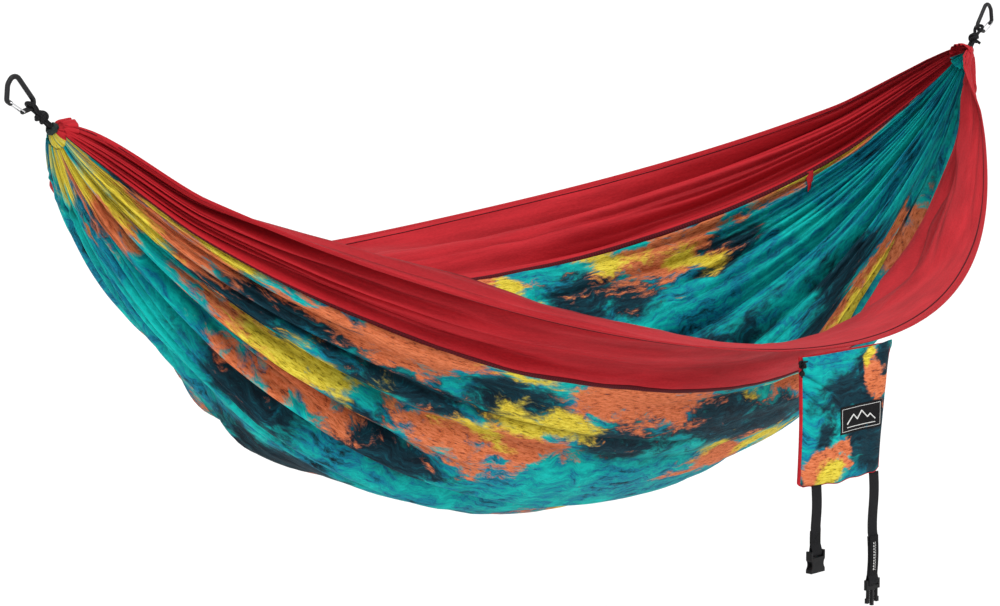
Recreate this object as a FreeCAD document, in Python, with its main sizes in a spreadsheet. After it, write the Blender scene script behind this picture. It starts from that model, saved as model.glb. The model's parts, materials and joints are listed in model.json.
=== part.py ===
import FreeCAD, Part
import math
import os

import Sketcher
from FreeCAD import Matrix, Placement, Rotation, Vector

# A two-person camping hammock, hung and empty. X runs along the hammock, -Y is the side
# with the stuff sack, and Z is up. The origin is the place inside the left carabiner's
# bow where the tree strap pulls. Lengths are millimetres and angles are degrees.

os.makedirs("parts", exist_ok=True)
doc = FreeCAD.newDocument("camping_hammock")

SIZES = (
    # the cloth as it hangs
    ("chord_length", 2250),
    ("cloth_thickness", 3),
    ("bunch_radius", 24),
    ("belly_depth", 696),
    ("belly_power", 2.09),
    ("belly_fullness", 0.742),
    ("near_rim_reach", 672),
    ("near_rim_power", 1.94),
    ("near_rim_fullness", 1.03),
    ("near_rim_angle", 55.3),
    ("far_rim_reach", 756),
    ("far_rim_power", 1.40),
    ("far_rim_fullness", 0.773),
    ("far_rim_angle", 63),
    ("rim_closing", 0.109),
    ("side_flattening", 0.74),
    ("near_seam_share", 0.619),
    ("far_seam_share", 0.775),
    ("seam_drift", 0.131),
    ("panel_end", 0.996),
    ("seam_gap", 0.6),
    # the gathered ends and their ropes
    ("left_rope_angle", 43),
    ("right_rope_angle", 50),
    ("left_clip_angle", 51),
    ("right_clip_angle", 54),
    ("sleeve_radius", 22),
    ("sleeve_drop", 21),
    ("sleeve_reach", 12),
    ("mouth_radius", 9.6),
    ("mouth_bore_radius", 7.6),
    ("mouth_bore_depth", 3.6),
    ("rope_radius", 3),
    ("strand_spacing", 6.4),
    ("knot_reach", 24),
    ("knot_radius", 10.5),
    ("bar_reach", 47),
    ("lead_length", 9),
    ("lead_bend", 8),
    ("shoulder_bend", 7),
    ("eye_clearance", 0.9),
    # carabiners
    ("rod_radius", 3.75),
    ("gate_wire_radius", 1.1),
    ("gate_leg_spacing", 11.2),
    ("pin_clearance", 0.06),
    ("gate_slot_width", 3.2),
    ("gate_pin_end", 2.7),
    ("nose_clearance", 0.4),
    # stuff sack
    ("sack_width", 213),
    ("sack_height", 206),
    ("sack_depth", 16),
    ("sack_wall", 1.5),
    ("sack_corner", 12),
    ("sack_centre", -40),
    ("rim_clearance", 2),
    ("rim_drop", 1.5),
    ("hem_height", 14),
    ("hem_depth", 6),
    ("drawcord_radius", 1.5),
    ("drawcord_clearance", 0.35),
    ("drawcord_reach", 7),
    ("drawcord_bend", 5),
    ("bead_radius", 4.5),
    ("bead_drop", 16.5),
    ("label_width", 98),
    ("label_height", 43),
    ("label_thickness", 0.8),
    ("label_offset", 27),
    ("label_drop", 86),
    ("label_gap", 0.05),
    # webbing straps
    ("webbing_width", 25),
    ("webbing_thickness", 1.8),
    ("socket_strap_offset", -67),
    ("socket_strap_length", 100),
    ("socket_fold_length", 34),
    ("prong_strap_offset", 82),
    ("prong_strap_length", 170),
    ("prong_fold_length", 72),
    ("tag_length", 66),
    ("tag_thickness", 0.8),
    ("tag_inset", 3),
    ("tag_rise", 68),
    ("strap_gap", 0.5),
    # side-release buckle
    ("buckle_width", 34),
    ("buckle_thickness", 11),
    ("buckle_bar_radius", 2),
    ("bar_clearance", 0.5),
    ("buckle_arm_width", 3.5),
    ("loop_room", 8),
    ("socket_body_length", 24),
    ("socket_wall", 1.8),
    ("waist_depth", 3.2),
    ("waist_radius", 10),
    ("waist_drop", 10.8),
    ("prong_base_length", 6),
    ("prong_base_thickness", 6),
    ("spine_length", 26),
    ("spine_width", 4.5),
    ("prong_length", 21),
    ("prong_width", 3),
    ("prong_thickness", 5),
    ("prong_inset", 6.2),
    ("flex_gap", 0.4),
    ("barb_width", 3),
    ("barb_length", 8),
)

sheet = doc.addObject("Spreadsheet::Sheet", "sizes")
for row, (alias, value) in enumerate(SIZES, start=1):
    sheet.set("A%d" % row, alias)
    sheet.set("B%d" % row, str(value))
    sheet.setAlias("B%d" % row, alias)
doc.recompute()


def size(alias):
    """A driving dimension read from the sheet."""
    return float(sheet.get(alias))


def bind(thing, **expressions):
    """Bind properties of an object to expressions on the sheet."""
    for prop, expression in expressions.items():
        thing.setExpression(prop, expression)
    return thing


# ---- where the chain of parts lies -------------------------------------------------

def direction(degrees, side):
    """A unit vector in the XZ plane, rising away from the hammock; side is -1 or +1."""
    angle = math.radians(degrees)
    return Vector(side * math.cos(angle), 0, math.sin(angle))


# The carabiner's own outline: x towards the gate, z along the spine. The bends are the
# radii at the low corner, the high corner, the shoulder and the nose corner.
BAR_END = Vector(25, 0, 10)
LOW_CORNER = Vector(0, 0, -1)
HIGH_CORNER = Vector(0, 0, 62)
SHOULDER = Vector(20, 0, 57)
NOSE_CORNER = Vector(36, 0, 41)
NOSE_LENGTH = 7.5
CARABINER_BENDS = (9, 10, 14, 5)
GATE_BENDS = (1.8, 3, 3, 1.8)
GATE_LINE = (NOSE_CORNER - BAR_END).normalize()
NOSE_TIP = NOSE_CORNER - GATE_LINE * NOSE_LENGTH
ROPE_SEAT = Vector(8, 0, 3.86)
STRAP_SEAT = Vector(10.6, 0, 55.3)
GATE_CATCH = 4.2

ends = {}
for name, side in (("left", -1), ("right", 1)):
    rope_way = direction(size(name + "_rope_angle"), side)
    clip_way = direction(size(name + "_clip_angle"), side)
    base = Vector(side * (size("chord_length") / 2 * size("panel_end") + size("seam_gap")),
                  0, -size("sleeve_drop"))
    pivot = base + rope_way * size("sleeve_reach")
    seat = pivot + rope_way * size("bar_reach")
    # columns: the carabiner's x, y and z as seen in the row's frame
    across = Vector(0, side, 0).cross(clip_way)
    third = clip_way.cross(across)
    clip_turn = Rotation(Matrix(
        across.x, third.x, clip_way.x, 0,
        across.y, third.y, clip_way.y, 0,
        across.z, third.z, clip_way.z, 0,
        0, 0, 0, 1))
    clip_place = Placement(seat - clip_turn.multVec(ROPE_SEAT), clip_turn)
    ends[name] = {"side": side, "rope_way": rope_way, "clip_way": clip_way, "base": base,
                  "pivot": pivot, "seat": seat, "clip_place": clip_place}

# The middle of the chord, placed so that the left strap seat is the origin.
MIDDLE = -ends["left"]["clip_place"].multVec(STRAP_SEAT)


def shown(label, shape, at=MIDDLE):
    """A document object that holds a shape made in the chord's frame."""
    feature = doc.addObject("Part::Feature", label)
    feature.Label = label
    feature.Shape = shape
    feature.Placement = Placement(at, Rotation())
    return feature


# ---- the cloth ------------------------------------------------------------------------

RIM_SOFTENING = 0.012


def cloth_point(along, around):
    """Hung cloth: along runs -1..1 between the gathers, around -1..1 from rim to rim.

    The distance from the chord falls from its middle value to the bunch radius as a
    superellipse of along, and blends from belly to rim with the square of around.
    """
    reach = min(abs(along), 1.0)
    rim_share = around * around
    rim = "near" if around < 0 else "far"
    belly = (1 - reach ** size("belly_power")) ** size("belly_fullness")
    soft = math.sqrt((reach * reach + RIM_SOFTENING) / (1 + RIM_SOFTENING))
    edge = (1 - soft ** size(rim + "_rim_power")) ** size(rim + "_rim_fullness")
    radius = (size("bunch_radius") + size("belly_depth") * belly * (1 - rim_share)
              + size(rim + "_rim_reach") * edge * rim_share)
    radius *= 1 - size("side_flattening") * rim_share * (1 - rim_share) * belly
    closing = 1 - size("rim_closing") * reach * reach
    angle = math.radians(size(rim + "_rim_angle")) * closing * around
    return Vector(size("chord_length") / 2 * along,
                  radius * math.sin(angle), -radius * math.cos(angle))


def cloth_inside(along, around):
    """The point one cloth thickness inside the outer face, along its normal."""
    step = 0.0005
    here = cloth_point(along, around)
    slope = cloth_point(along + step, around) - cloth_point(along - step, around)
    turn = cloth_point(along, around + step) - cloth_point(along, around - step)
    return here + slope.cross(turn).normalize() * size("cloth_thickness")


def near_seam(along):
    return -(size("near_seam_share") - size("seam_drift") * along)


def far_seam(along):
    return size("far_seam_share") - size("seam_drift") * along


def cloth_shell(low_edge, high_edge, columns, rows):
    """A closed thin shell between two lines of the cloth, from gather to gather."""
    end_angle = math.asin(size("panel_end"))
    grids = []
    for face in (cloth_point, cloth_inside):
        grid = []
        for i in range(columns):
            along = math.sin(end_angle * (2 * i / (columns - 1) - 1))
            low, high = low_edge(along), high_edge(along)
            grid.append([face(along, low + (high - low) * j / (rows - 1))
                         for j in range(rows)])
        surface = Part.BSplineSurface()
        surface.interpolate(grid)
        grids.append(surface)
    outer, inner = (surface.toShape() for surface in grids)
    sides = [Part.makeRuledSurface(a, b) for a, b in zip(outer.Edges, inner.Edges)]
    sewn = Part.makeShell([outer.Faces[0], inner.Faces[0]] + [s.Faces[0] for s in sides])
    sewn.sewShape()
    solid = Part.makeSolid(Part.Shell(sewn.Faces))
    if solid.Volume < 0:
        solid.reverse()
    return solid


# The panels lie edge to edge, with half of the seam gap as a share of the reach each side.
half_gap = size("seam_gap") / 2 / size("belly_depth")


def lower(line):
    return lambda along: line(along) - half_gap


def upper(line):
    return lambda along: line(along) + half_gap


def near_rim(along):
    return -1.0


def far_rim(along):
    return 1.0


COLUMNS = 41
CENTRE_ROWS = 25
SIDE_ROWS = 9
shown("centre_panel", cloth_shell(upper(near_seam), lower(far_seam), COLUMNS, CENTRE_ROWS))
shown("near_side_panel", cloth_shell(near_rim, lower(near_seam), COLUMNS, SIDE_ROWS))
shown("far_side_panel", cloth_shell(upper(far_seam), far_rim, COLUMNS, SIDE_ROWS))


# ---- gathered ends, ropes and knots -----------------------------------------------------

def circle_wire(centre, axis, radius):
    """A circle square to an axis, always begun on the same side, so that lofts don't twist."""
    circle = Part.makeCircle(radius)
    circle.Placement = Placement(centre, Rotation(Vector(0, 1, 0), Vector(), axis, "ZXY"))
    return Part.Wire(circle)


def tube(points, bends, radius):
    """A round tube along straight runs joined by tangent arcs of the given radii."""
    edges = []
    start = points[0]
    for before, corner, after, bend in zip(points, points[1:], points[2:], bends):
        way_in = (corner - before).normalize()
        way_out = (after - corner).normalize()
        turn = way_in.getAngle(way_out)
        leg = bend * math.tan(turn / 2)
        first, last = corner - way_in * leg, corner + way_out * leg
        inward = (way_out - way_in).normalize()
        centre = corner + inward * (bend / math.cos(turn / 2))
        edges.append(Part.LineSegment(start, first).toShape())
        edges.append(Part.Arc(first, centre - inward * bend, last).toShape())
        start = last
    edges.append(Part.LineSegment(start, points[-1]).toShape())
    spine = Part.Wire(edges)
    way = (points[1] - points[0]).normalize()
    solid = spine.makePipeShell([circle_wire(points[0], way, radius)], True, True)
    wanted = math.pi * radius ** 2 * spine.Length
    print("tube: length %.1f, least bend %.1f, volume share %.4f"
          % (spine.Length, min(bends, default=0), solid.Volume / wanted))
    return solid


# How far the bight stands over the bar, where it begins to close and how round it is.
TOP_SLACK = 0.4
EYE_DROP = 2
BIGHT_EASE = 0.2

# The knot's middle turn and its two leaning turns, as shares of the knot and the rope.
MIDDLE_TURN = (0.9, 1.25)
LEANING_TURN = (0.8, 1.1)
TURN_LEAN = 0.9

for name, end in ends.items():
    way, base, pivot, seat = end["rope_way"], end["base"], end["pivot"], end["seat"]
    out = Vector(end["side"], 0, 0)

    # The end channel of the cloth, bunched tight: a frustum that turns up to the rope.
    sleeve = Part.makeLoft([circle_wire(base, out, size("sleeve_radius")),
                            circle_wire(pivot, way, size("mouth_radius"))], True, False)
    depth = size("mouth_bore_depth")
    sleeve = sleeve.cut(Part.makeCylinder(size("mouth_bore_radius"), depth + 1,
                                          pivot - way * depth, way))
    shown(name + "_end_sleeve", sleeve)

    # Tether: two strands with round ends in the mouth, and a bight over the bar.
    radius = size("rope_radius")
    offset = Vector(0, size("strand_spacing") / 2, 0)
    eye = size("rod_radius") + radius + size("eye_clearance")
    top = seat + way * (eye + TOP_SLACK)
    low = seat - way * EYE_DROP
    spread = Vector(0, eye, 0)
    lead = seat - way * size("lead_length")
    bends = [size("lead_bend"), size("shoulder_bend"), eye - BIGHT_EASE]
    rope = tube([pivot + offset, lead + offset, low + spread, top + spread,
                 top - spread, low - spread, lead - offset, pivot - offset],
                bends + bends[::-1], radius)
    for strand in (pivot + offset, pivot - offset):
        rope = rope.fuse(Part.makeSphere(radius, strand))
    shown(name + "_tether_rope", rope.removeSplitter())

    # Overhand knot in the doubled rope: three tight turns packed round the strands.
    knot_centre = pivot + way * size("knot_reach")
    across = Vector(0, 1, 0).cross(way)
    turn_radius = size("knot_radius") - radius
    knot = Part.makeTorus(turn_radius * MIDDLE_TURN[0], radius * MIDDLE_TURN[1],
                          knot_centre, way)
    for lean in (-TURN_LEAN, TURN_LEAN):
        axis = (way + across * lean).normalize()
        knot = knot.fuse(Part.makeTorus(turn_radius * LEANING_TURN[0],
                                        radius * LEANING_TURN[1], knot_centre, axis))
    knot = knot.fuse(Part.makeSphere(turn_radius, knot_centre))
    shown(name + "_tether_knot", knot)


# ---- carabiners -------------------------------------------------------------------------

def carabiner_body():
    """A bent rod with a bored end for the gate's pins and a slot in its nose."""
    rod = size("rod_radius")
    body = tube([BAR_END, LOW_CORNER, HIGH_CORNER, SHOULDER, NOSE_CORNER, NOSE_TIP],
                CARABINER_BENDS, rod)
    for tip in (BAR_END, NOSE_TIP):
        body = body.fuse(Part.makeSphere(rod, tip))
    bore = size("gate_wire_radius") + size("pin_clearance")
    body = body.cut(Part.makeCylinder(bore, 4 * rod, BAR_END - Vector(0, 2 * rod, 0),
                                      Vector(0, 1, 0)))
    inward = Vector(-GATE_LINE.z, 0, GATE_LINE.x)
    slot = Part.makeBox(4 * rod, 4 * rod, size("gate_slot_width"))
    slot.translate(Vector(0, -2 * rod, -size("gate_slot_width") / 2))
    depth = size("gate_wire_radius") + size("nose_clearance")
    turn = Rotation(inward, Vector(0, 1, 0), GATE_LINE, "XZY")
    slot.Placement = Placement(gate_catch() - inward * depth, turn).multiply(slot.Placement)
    return body.cut(slot)


def gate_catch():
    return NOSE_CORNER - GATE_LINE * GATE_CATCH


def carabiner_gate():
    """One bent wire: two pins, two legs and the cross piece that sits in the nose."""
    half = Vector(0, size("gate_leg_spacing") / 2, 0)
    pin = Vector(0, size("gate_pin_end"), 0)
    catch = gate_catch()
    return tube([BAR_END + pin, BAR_END + half, catch + half, catch - half, BAR_END - half,
                 BAR_END - pin], GATE_BENDS, size("gate_wire_radius"))


for name, end in ends.items():
    for piece, shape in (("carabiner", carabiner_body()), ("gate", carabiner_gate())):
        feature = shown("%s_%s" % (name, piece), shape)
        feature.Placement = Placement(MIDDLE, Rotation()).multiply(end["clip_place"])


# ---- stuff sack ---------------------------------------------------------------------------

rim_outside = cloth_point(0, -1)
SACK_TOP = MIDDLE + Vector(size("sack_centre"), rim_outside.y - size("rim_clearance"),
                           rim_outside.z - size("rim_drop"))


def new_body(label, at):
    body = doc.addObject("PartDesign::Body", label)
    body.Label = label
    body.Placement = Placement(at, Rotation())
    return body


def plane_of(body, role):
    return [f for f in body.Origin.OriginFeatures if f.Role == role][0]


def rectangle(body, name, width, top, bottom, side_shift="0"):
    """A sketch on XZ: a rectangle whose width, top and bottom are expressions."""
    sketch = body.newObject("Sketcher::SketchObject", name)
    sketch.AttachmentSupport = [(plane_of(body, "XZ_Plane"), "")]
    sketch.MapMode = "FlatFace"
    corners = [Vector(-10, -20, 0), Vector(10, -20, 0), Vector(10, -1, 0), Vector(-10, -1, 0)]
    for here, there in zip(corners, corners[1:] + corners[:1]):
        sketch.addGeometry(Part.LineSegment(here, there), False)
    for k in range(4):
        sketch.addConstraint(Sketcher.Constraint("Coincident", k, 2, (k + 1) % 4, 1))
    for k in (0, 2):
        sketch.addConstraint(Sketcher.Constraint("Horizontal", k))
    for k in (1, 3):
        sketch.addConstraint(Sketcher.Constraint("Vertical", k))
    rules = ((("DistanceX", 0, 1, 0, 2, 20.0), width),
             (("DistanceX", 0, 1, -1, 1, 10.0), "(%s) / 2 - (%s)" % (width, side_shift)),
             (("DistanceY", 0, 1, -1, 1, 20.0), "-(%s)" % bottom),
             (("DistanceY", 1, 1, 1, 2, 19.0), "(%s) - (%s)" % (top, bottom)))
    for rule, expression in rules:
        index = sketch.addConstraint(Sketcher.Constraint(*rule))
        sketch.setExpression("Constraints[%d]" % index, expression)
    return sketch


def pad(body, sketch, length, reverse=False):
    feature = body.newObject("PartDesign::Pad", sketch.Name + "_pad")
    feature.Profile = sketch
    feature.Reversed = reverse
    sketch.Visibility = False
    return bind(feature, Length=length)


def pocket(body, sketch, length, reverse=False):
    feature = body.newObject("PartDesign::Pocket", sketch.Name + "_pocket")
    feature.Profile = sketch
    feature.Reversed = reverse
    return bind(feature, Length=length)


def round_edges(body, base, edges, radius):
    feature = body.newObject("PartDesign::Fillet", base.Name + "_rounding")
    feature.Base = (base, edges)
    return bind(feature, Radius=radius)


def lower_corner_edges(shape):
    """Names of the edges that run along Y at the foot of the sack."""
    names = []
    for k, edge in enumerate(shape.Edges, start=1):
        span = edge.Vertexes[-1].Point - edge.Vertexes[0].Point
        if abs(span.y) > 0.9 * span.Length and edge.CenterOfMass.z < -size("sack_height") / 2:
            names.append("Edge%d" % k)
    return names


# Back panel: a flat sheet sewn to the rim, with rounded lower corners.
back = new_body("sack_back", SACK_TOP)
back_pad = pad(back, rectangle(back, "back_outline", "sizes.sack_width", "0",
                               "-sizes.sack_height"), "sizes.sack_wall")
doc.recompute()
round_edges(back, back_pad, lower_corner_edges(back_pad.Shape), "sizes.sack_corner")

# Front panel: a shallow tray open at the top and at the back, with a drawcord hem.
front = new_body("sack_front", SACK_TOP + Vector(0, -size("sack_wall"), 0))
front_pad = pad(front, rectangle(front, "front_outline", "sizes.sack_width", "0",
                                 "-sizes.sack_height"), "sizes.sack_depth")
doc.recompute()
round_edges(front, front_pad, lower_corner_edges(front_pad.Shape), "sizes.sack_corner")
doc.recompute()
solid_volume = front.Shape.Volume
pocket(front, rectangle(front, "hollow", "sizes.sack_width - 2 * sizes.sack_wall", "1",
                        "-sizes.sack_height + sizes.sack_wall"),
       "sizes.sack_depth - sizes.sack_wall", True)
doc.recompute()
MOST_LEFT_AFTER_CUT = 0.6
if front.Shape.Volume > MOST_LEFT_AFTER_CUT * solid_volume:
    raise RuntimeError("the sack's hollow was not cut")
hem = bind(doc.addObject("Part::Box", "hem_block"), Length="sizes.sack_width",
           Width="sizes.hem_depth", Height="sizes.hem_height")
hem.Placement.Base = SACK_TOP + Vector(-size("sack_width") / 2, -size("sack_wall")
                                       - size("sack_depth"), -size("hem_height"))
hem_bore = bind(doc.addObject("Part::Cylinder", "hem_bore"),
                Radius="sizes.drawcord_radius + sizes.drawcord_clearance",
                Height="sizes.sack_width + 4")
CORD_LINE = SACK_TOP + Vector(0, -size("sack_wall") - size("sack_depth")
                              + size("hem_depth") / 2, -size("hem_height") / 2)
hem_bore.Placement = Placement(CORD_LINE - Vector(size("sack_width") / 2 + 2, 0, 0),
                               Rotation(Vector(0, 1, 0), 90))
front.Label = "sack_front_tray"
front_fused = doc.addObject("Part::Fuse", "front_with_hem")
front_fused.Base = front
front_fused.Tool = hem
front_cut = doc.addObject("Part::Cut", "sack_front")
front_cut.Base = front_fused
front_cut.Tool = hem_bore
front_cut.Label = "sack_front"

# Drawcord in the hem, its knot at the left corner and the ball on its tail.
CORD_TAIL = Vector(1, 0, 24)
CORD_INSIDE = 3
left_exit = CORD_LINE - Vector(size("sack_width") / 2 + size("drawcord_reach"), 0, 0)
cord_path = [CORD_LINE + Vector(size("sack_width") / 2 - CORD_INSIDE, 0, 0), left_exit,
             left_exit - CORD_TAIL]
shown("sack_drawcord", tube(cord_path, [size("drawcord_bend")], size("drawcord_radius")),
      Vector())
# The knot: a turn round the way out, a turn round the tail and the crossing between them.
cord_knot = Part.makeTorus(3.6, 2.1, left_exit + Vector(1, 0, -1), Vector(1, 0, 0.6))
tail_turn = Part.makeTorus(3.4, 2, left_exit + Vector(0, 0, -3), Vector(0.3, 0.4, 1))
crossing = Part.makeSphere(3.6, left_exit + Vector(0.4, 0, -2))
shown("drawcord_knot", cord_knot.fuse(tail_turn).fuse(crossing), Vector())
bead = bind(doc.addObject("Part::Sphere", "bead_ball"), Radius="sizes.bead_radius")
bead.Placement.Base = left_exit - CORD_TAIL * (size("bead_drop") / CORD_TAIL.z)
bead_hole = bind(doc.addObject("Part::Cylinder", "bead_hole"),
                 Radius="sizes.drawcord_radius + sizes.pin_clearance",
                 Height="4 * sizes.bead_radius")
bead_hole.Placement = Placement(left_exit - CORD_TAIL * 1.04,
                                Rotation(Vector(0, 0, 1), CORD_TAIL))
bead_cut = doc.addObject("Part::Cut", "drawcord_bead")
bead_cut.Base = bead
bead_cut.Tool = bead_hole
bead_cut.Label = "drawcord_bead"

# Woven label sewn to the front panel.
SACK_FACE = -size("sack_wall") - size("sack_depth")
LABEL_TOP = SACK_TOP + Vector(size("label_offset"), SACK_FACE - size("label_gap"),
                              -size("label_drop"))
sack_label = new_body("sack_label", LABEL_TOP)
pad(sack_label, rectangle(sack_label, "label_outline", "sizes.label_width", "0",
                          "-sizes.label_height"), "sizes.label_thickness")


# ---- straps and buckle ------------------------------------------------------------------------

def block(name, length, width, height, corner):
    solid = bind(doc.addObject("Part::Box", name), Length=length, Width=width, Height=height)
    solid.Placement.Base = corner
    return solid


def crossbar(name, radius, length, centre, span):
    """A cylinder along X, centred."""
    solid = bind(doc.addObject("Part::Cylinder", name), Radius=radius, Height=length)
    solid.Placement = Placement(centre - Vector(span / 2, 0, 0), Rotation(Vector(0, 1, 0), 90))
    return solid


def joined(name, pieces):
    fused = doc.addObject("Part::MultiFuse", name)
    fused.Shapes = pieces
    fused.Label = name
    return fused


def cut(name, base, tools):
    tool = tools[0] if len(tools) == 1 else joined(name + "_tools", tools)
    result = doc.addObject("Part::Cut", name)
    result.Base = base
    result.Tool = tool
    result.Label = name
    base.Label = name + "_blank"
    return result


WEB = size("webbing_width")
THICK = size("webbing_thickness")
LOOP_INNER = size("buckle_bar_radius") + size("bar_clearance")
LOOP_OUTER = LOOP_INNER + THICK
# The loop's wall takes in the ends of the layers above it, and the eye runs out of both sides.
LAYER_START = LOOP_INNER + 1
FOLD_START = LOOP_OUTER - 1.2
EYE_EXTRA = 2


def strap(name, prefix, top):
    """Webbing hung from top: one layer, then a sewn fold, then the loop round the bar."""
    bar = top - Vector(0, 0, size(prefix + "_strap_length"))
    web = "sizes.webbing_width"
    single = block(name + "_single", web, "sizes.webbing_thickness",
                   "sizes.%s_strap_length - %s" % (prefix, LAYER_START),
                   bar + Vector(-WEB / 2, -THICK / 2, LAYER_START))
    double = block(name + "_fold", web, "2 * sizes.webbing_thickness",
                   "sizes.%s_fold_length" % prefix,
                   bar + Vector(-WEB / 2, -THICK, FOLD_START))
    root = crossbar(name + "_root", "sizes.webbing_thickness / 2", web, top, WEB)
    ring = crossbar(name + "_ring", "%s" % LOOP_OUTER, web, bar, WEB)
    eye = crossbar(name + "_eye", "%s" % LOOP_INNER, "%s + %s" % (web, EYE_EXTRA), bar,
                   WEB + EYE_EXTRA)
    cut(name, joined(name + "_body", [single, double, root, ring]), [eye])
    return bar


SACK_FOOT = SACK_TOP + Vector(0, -size("sack_wall") - size("sack_depth") / 2,
                              -size("sack_height") - size("strap_gap") - THICK / 2)
socket_root = SACK_FOOT + Vector(size("socket_strap_offset"), 0, 0)
prong_root = SACK_FOOT + Vector(size("prong_strap_offset"), 0, 0)
socket_bar = strap("socket_strap", "socket", socket_root)
prong_bar = strap("prong_strap", "prong", prong_root)

strap_tag = new_body("strap_tag", prong_bar + Vector(0, -THICK - size("label_gap"),
                                                     LOOP_OUTER + size("tag_rise")))
pad(strap_tag, rectangle(strap_tag, "tag_outline", "sizes.webbing_width - sizes.tag_inset",
                         "0", "-sizes.tag_length"), "sizes.tag_thickness")

# Socket half: two arms and a bar for the webbing, over a hollow waisted body.
WIDE = size("buckle_width")
ARM = size("buckle_arm_width")
ROOM = size("loop_room")
DEEP = size("buckle_thickness")
BAR_R = size("buckle_bar_radius")


def bar_frame(name, bar, thickness_alias):
    """The bar the webbing goes round, and its two arms down to the buckle's body."""
    thick = size(thickness_alias)
    pieces = [crossbar(name + "_bar", "sizes.buckle_bar_radius", "sizes.buckle_width - 2", bar,
                       WIDE - 2)]
    for side in (-1, 1):
        left = -WIDE / 2 if side < 0 else WIDE / 2 - ARM
        pieces.append(block("%s_arm_%s" % (name, "left" if side < 0 else "right"),
                            "sizes.buckle_arm_width", "sizes." + thickness_alias,
                            "sizes.loop_room + 2 * sizes.buckle_bar_radius",
                            bar + Vector(left, -thick / 2, -ROOM - BAR_R)))
    return pieces


body_length = size("socket_body_length")
socket_top = socket_bar - Vector(0, 0, ROOM)
socket_block = block("socket_block", "sizes.buckle_width", "sizes.buckle_thickness",
                     "sizes.socket_body_length",
                     socket_top + Vector(-WIDE / 2, -DEEP / 2, -body_length))
wall = size("socket_wall")
tools = [block("socket_cavity", "sizes.buckle_width - 2 * sizes.socket_wall",
               "sizes.buckle_thickness - 2 * sizes.socket_wall",
               "sizes.socket_body_length - 2 * sizes.socket_wall + 1",
               socket_top + Vector(-WIDE / 2 + wall, -DEEP / 2 + wall,
                                   -body_length - 1))]
for side in (-1, 1):
    waist = bind(doc.addObject("Part::Cylinder", "waist_%s" % ("left" if side < 0 else "right")),
                 Radius="sizes.waist_radius", Height="sizes.buckle_thickness + 2")
    sink = size("waist_radius") - size("waist_depth")
    waist.Placement = Placement(
        socket_top + Vector(side * (WIDE / 2 + sink), DEEP / 2 + 1, -size("waist_drop")),
        Rotation(Vector(1, 0, 0), 90))
    tools.append(waist)
socket_frame = bar_frame("socket", socket_bar, "buckle_thickness")
cut("socket_buckle", joined("socket_solid", socket_frame + [socket_block]), tools)

# Prong half: a bar frame, a base with a middle guide, and two sprung prongs.
base_top = prong_bar - Vector(0, 0, ROOM)
base_length = size("prong_base_length")
flat = size("prong_base_thickness")
guide = block("guide", "sizes.spine_width", "sizes.prong_thickness", "sizes.spine_length",
              base_top + Vector(-size("spine_width") / 2, -size("prong_thickness") / 2,
                                -base_length - size("spine_length")))
plate = block("prong_plate", "sizes.buckle_width", "sizes.prong_base_thickness",
              "sizes.prong_base_length",
              base_top + Vector(-WIDE / 2, -flat / 2, -base_length))
joined("prong_buckle", bar_frame("prong", prong_bar, "prong_base_thickness") + [plate, guide])

prong_tops = {}
for name, side in (("left_prong", -1), ("right_prong", 1)):
    root = base_top + Vector(side * (WIDE / 2 - size("prong_inset")), 0,
                             -base_length - size("flex_gap"))
    prong_tops[name] = root
    half = size("prong_thickness") / 2
    arm = block(name + "_arm", "sizes.prong_width", "sizes.prong_thickness",
                "sizes.prong_length",
                root + Vector(-size("prong_width") / 2, -half, -size("prong_length")))
    outward = 0 if side > 0 else -size("barb_width")
    barb = block(name + "_barb", "sizes.prong_width / 2 + sizes.barb_width",
                 "sizes.prong_thickness", "sizes.barb_length",
                 root + Vector(outward - (size("prong_width") / 2 if side < 0 else 0), -half,
                               -size("prong_length")))
    joined(name, [arm, barb])

# ---- check and write -----------------------------------------------------------------------

doc.recompute()
NODES = (["centre_panel", "near_side_panel", "far_side_panel"]
         + [end + piece for end in ("left", "right")
            for piece in ("_end_sleeve", "_tether_rope", "_tether_knot", "_carabiner",
                          "_gate")]
         + ["sack_front", "sack_back", "sack_drawcord", "drawcord_knot", "drawcord_bead",
            "sack_label", "socket_strap", "socket_buckle", "prong_strap", "strap_tag",
            "prong_buckle", "left_prong", "right_prong"])

for thing in doc.Objects:
    if {"Invalid", "Error"} & set(thing.State):
        raise RuntimeError("%s did not compute: %s" % (thing.Label, thing.State))
by_label = {thing.Label: thing for thing in doc.Objects}
for node in NODES:
    shape = by_label[node].Shape
    if shape.isNull() or not shape.isValid() or not shape.Solids or shape.Volume <= 0:
        raise RuntimeError("%s has no sound solid" % node)
for node in NODES:
    by_label[node].Shape.exportStep("parts/%s.step" % node)
    box = by_label[node].Shape.BoundBox
    print("%-18s x %8.1f %8.1f  y %8.1f %8.1f  z %8.1f %8.1f" % (
        node, box.XMin, box.XMax, box.YMin, box.YMax, box.ZMin, box.ZMax))
for name, end in ends.items():
    for what in ("pivot", "seat"):
        print(name, what, MIDDLE + end[what])
    print(name, "gate pivot", MIDDLE + end["clip_place"].multVec(BAR_END))
    print(name, "strap seat", MIDDLE + end["clip_place"].multVec(STRAP_SEAT))
print("middle", MIDDLE, "sack top", SACK_TOP, "roots", socket_root, prong_root)
print("bars", socket_bar, prong_bar, "prongs", prong_tops)
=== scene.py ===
import json
import math

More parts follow.
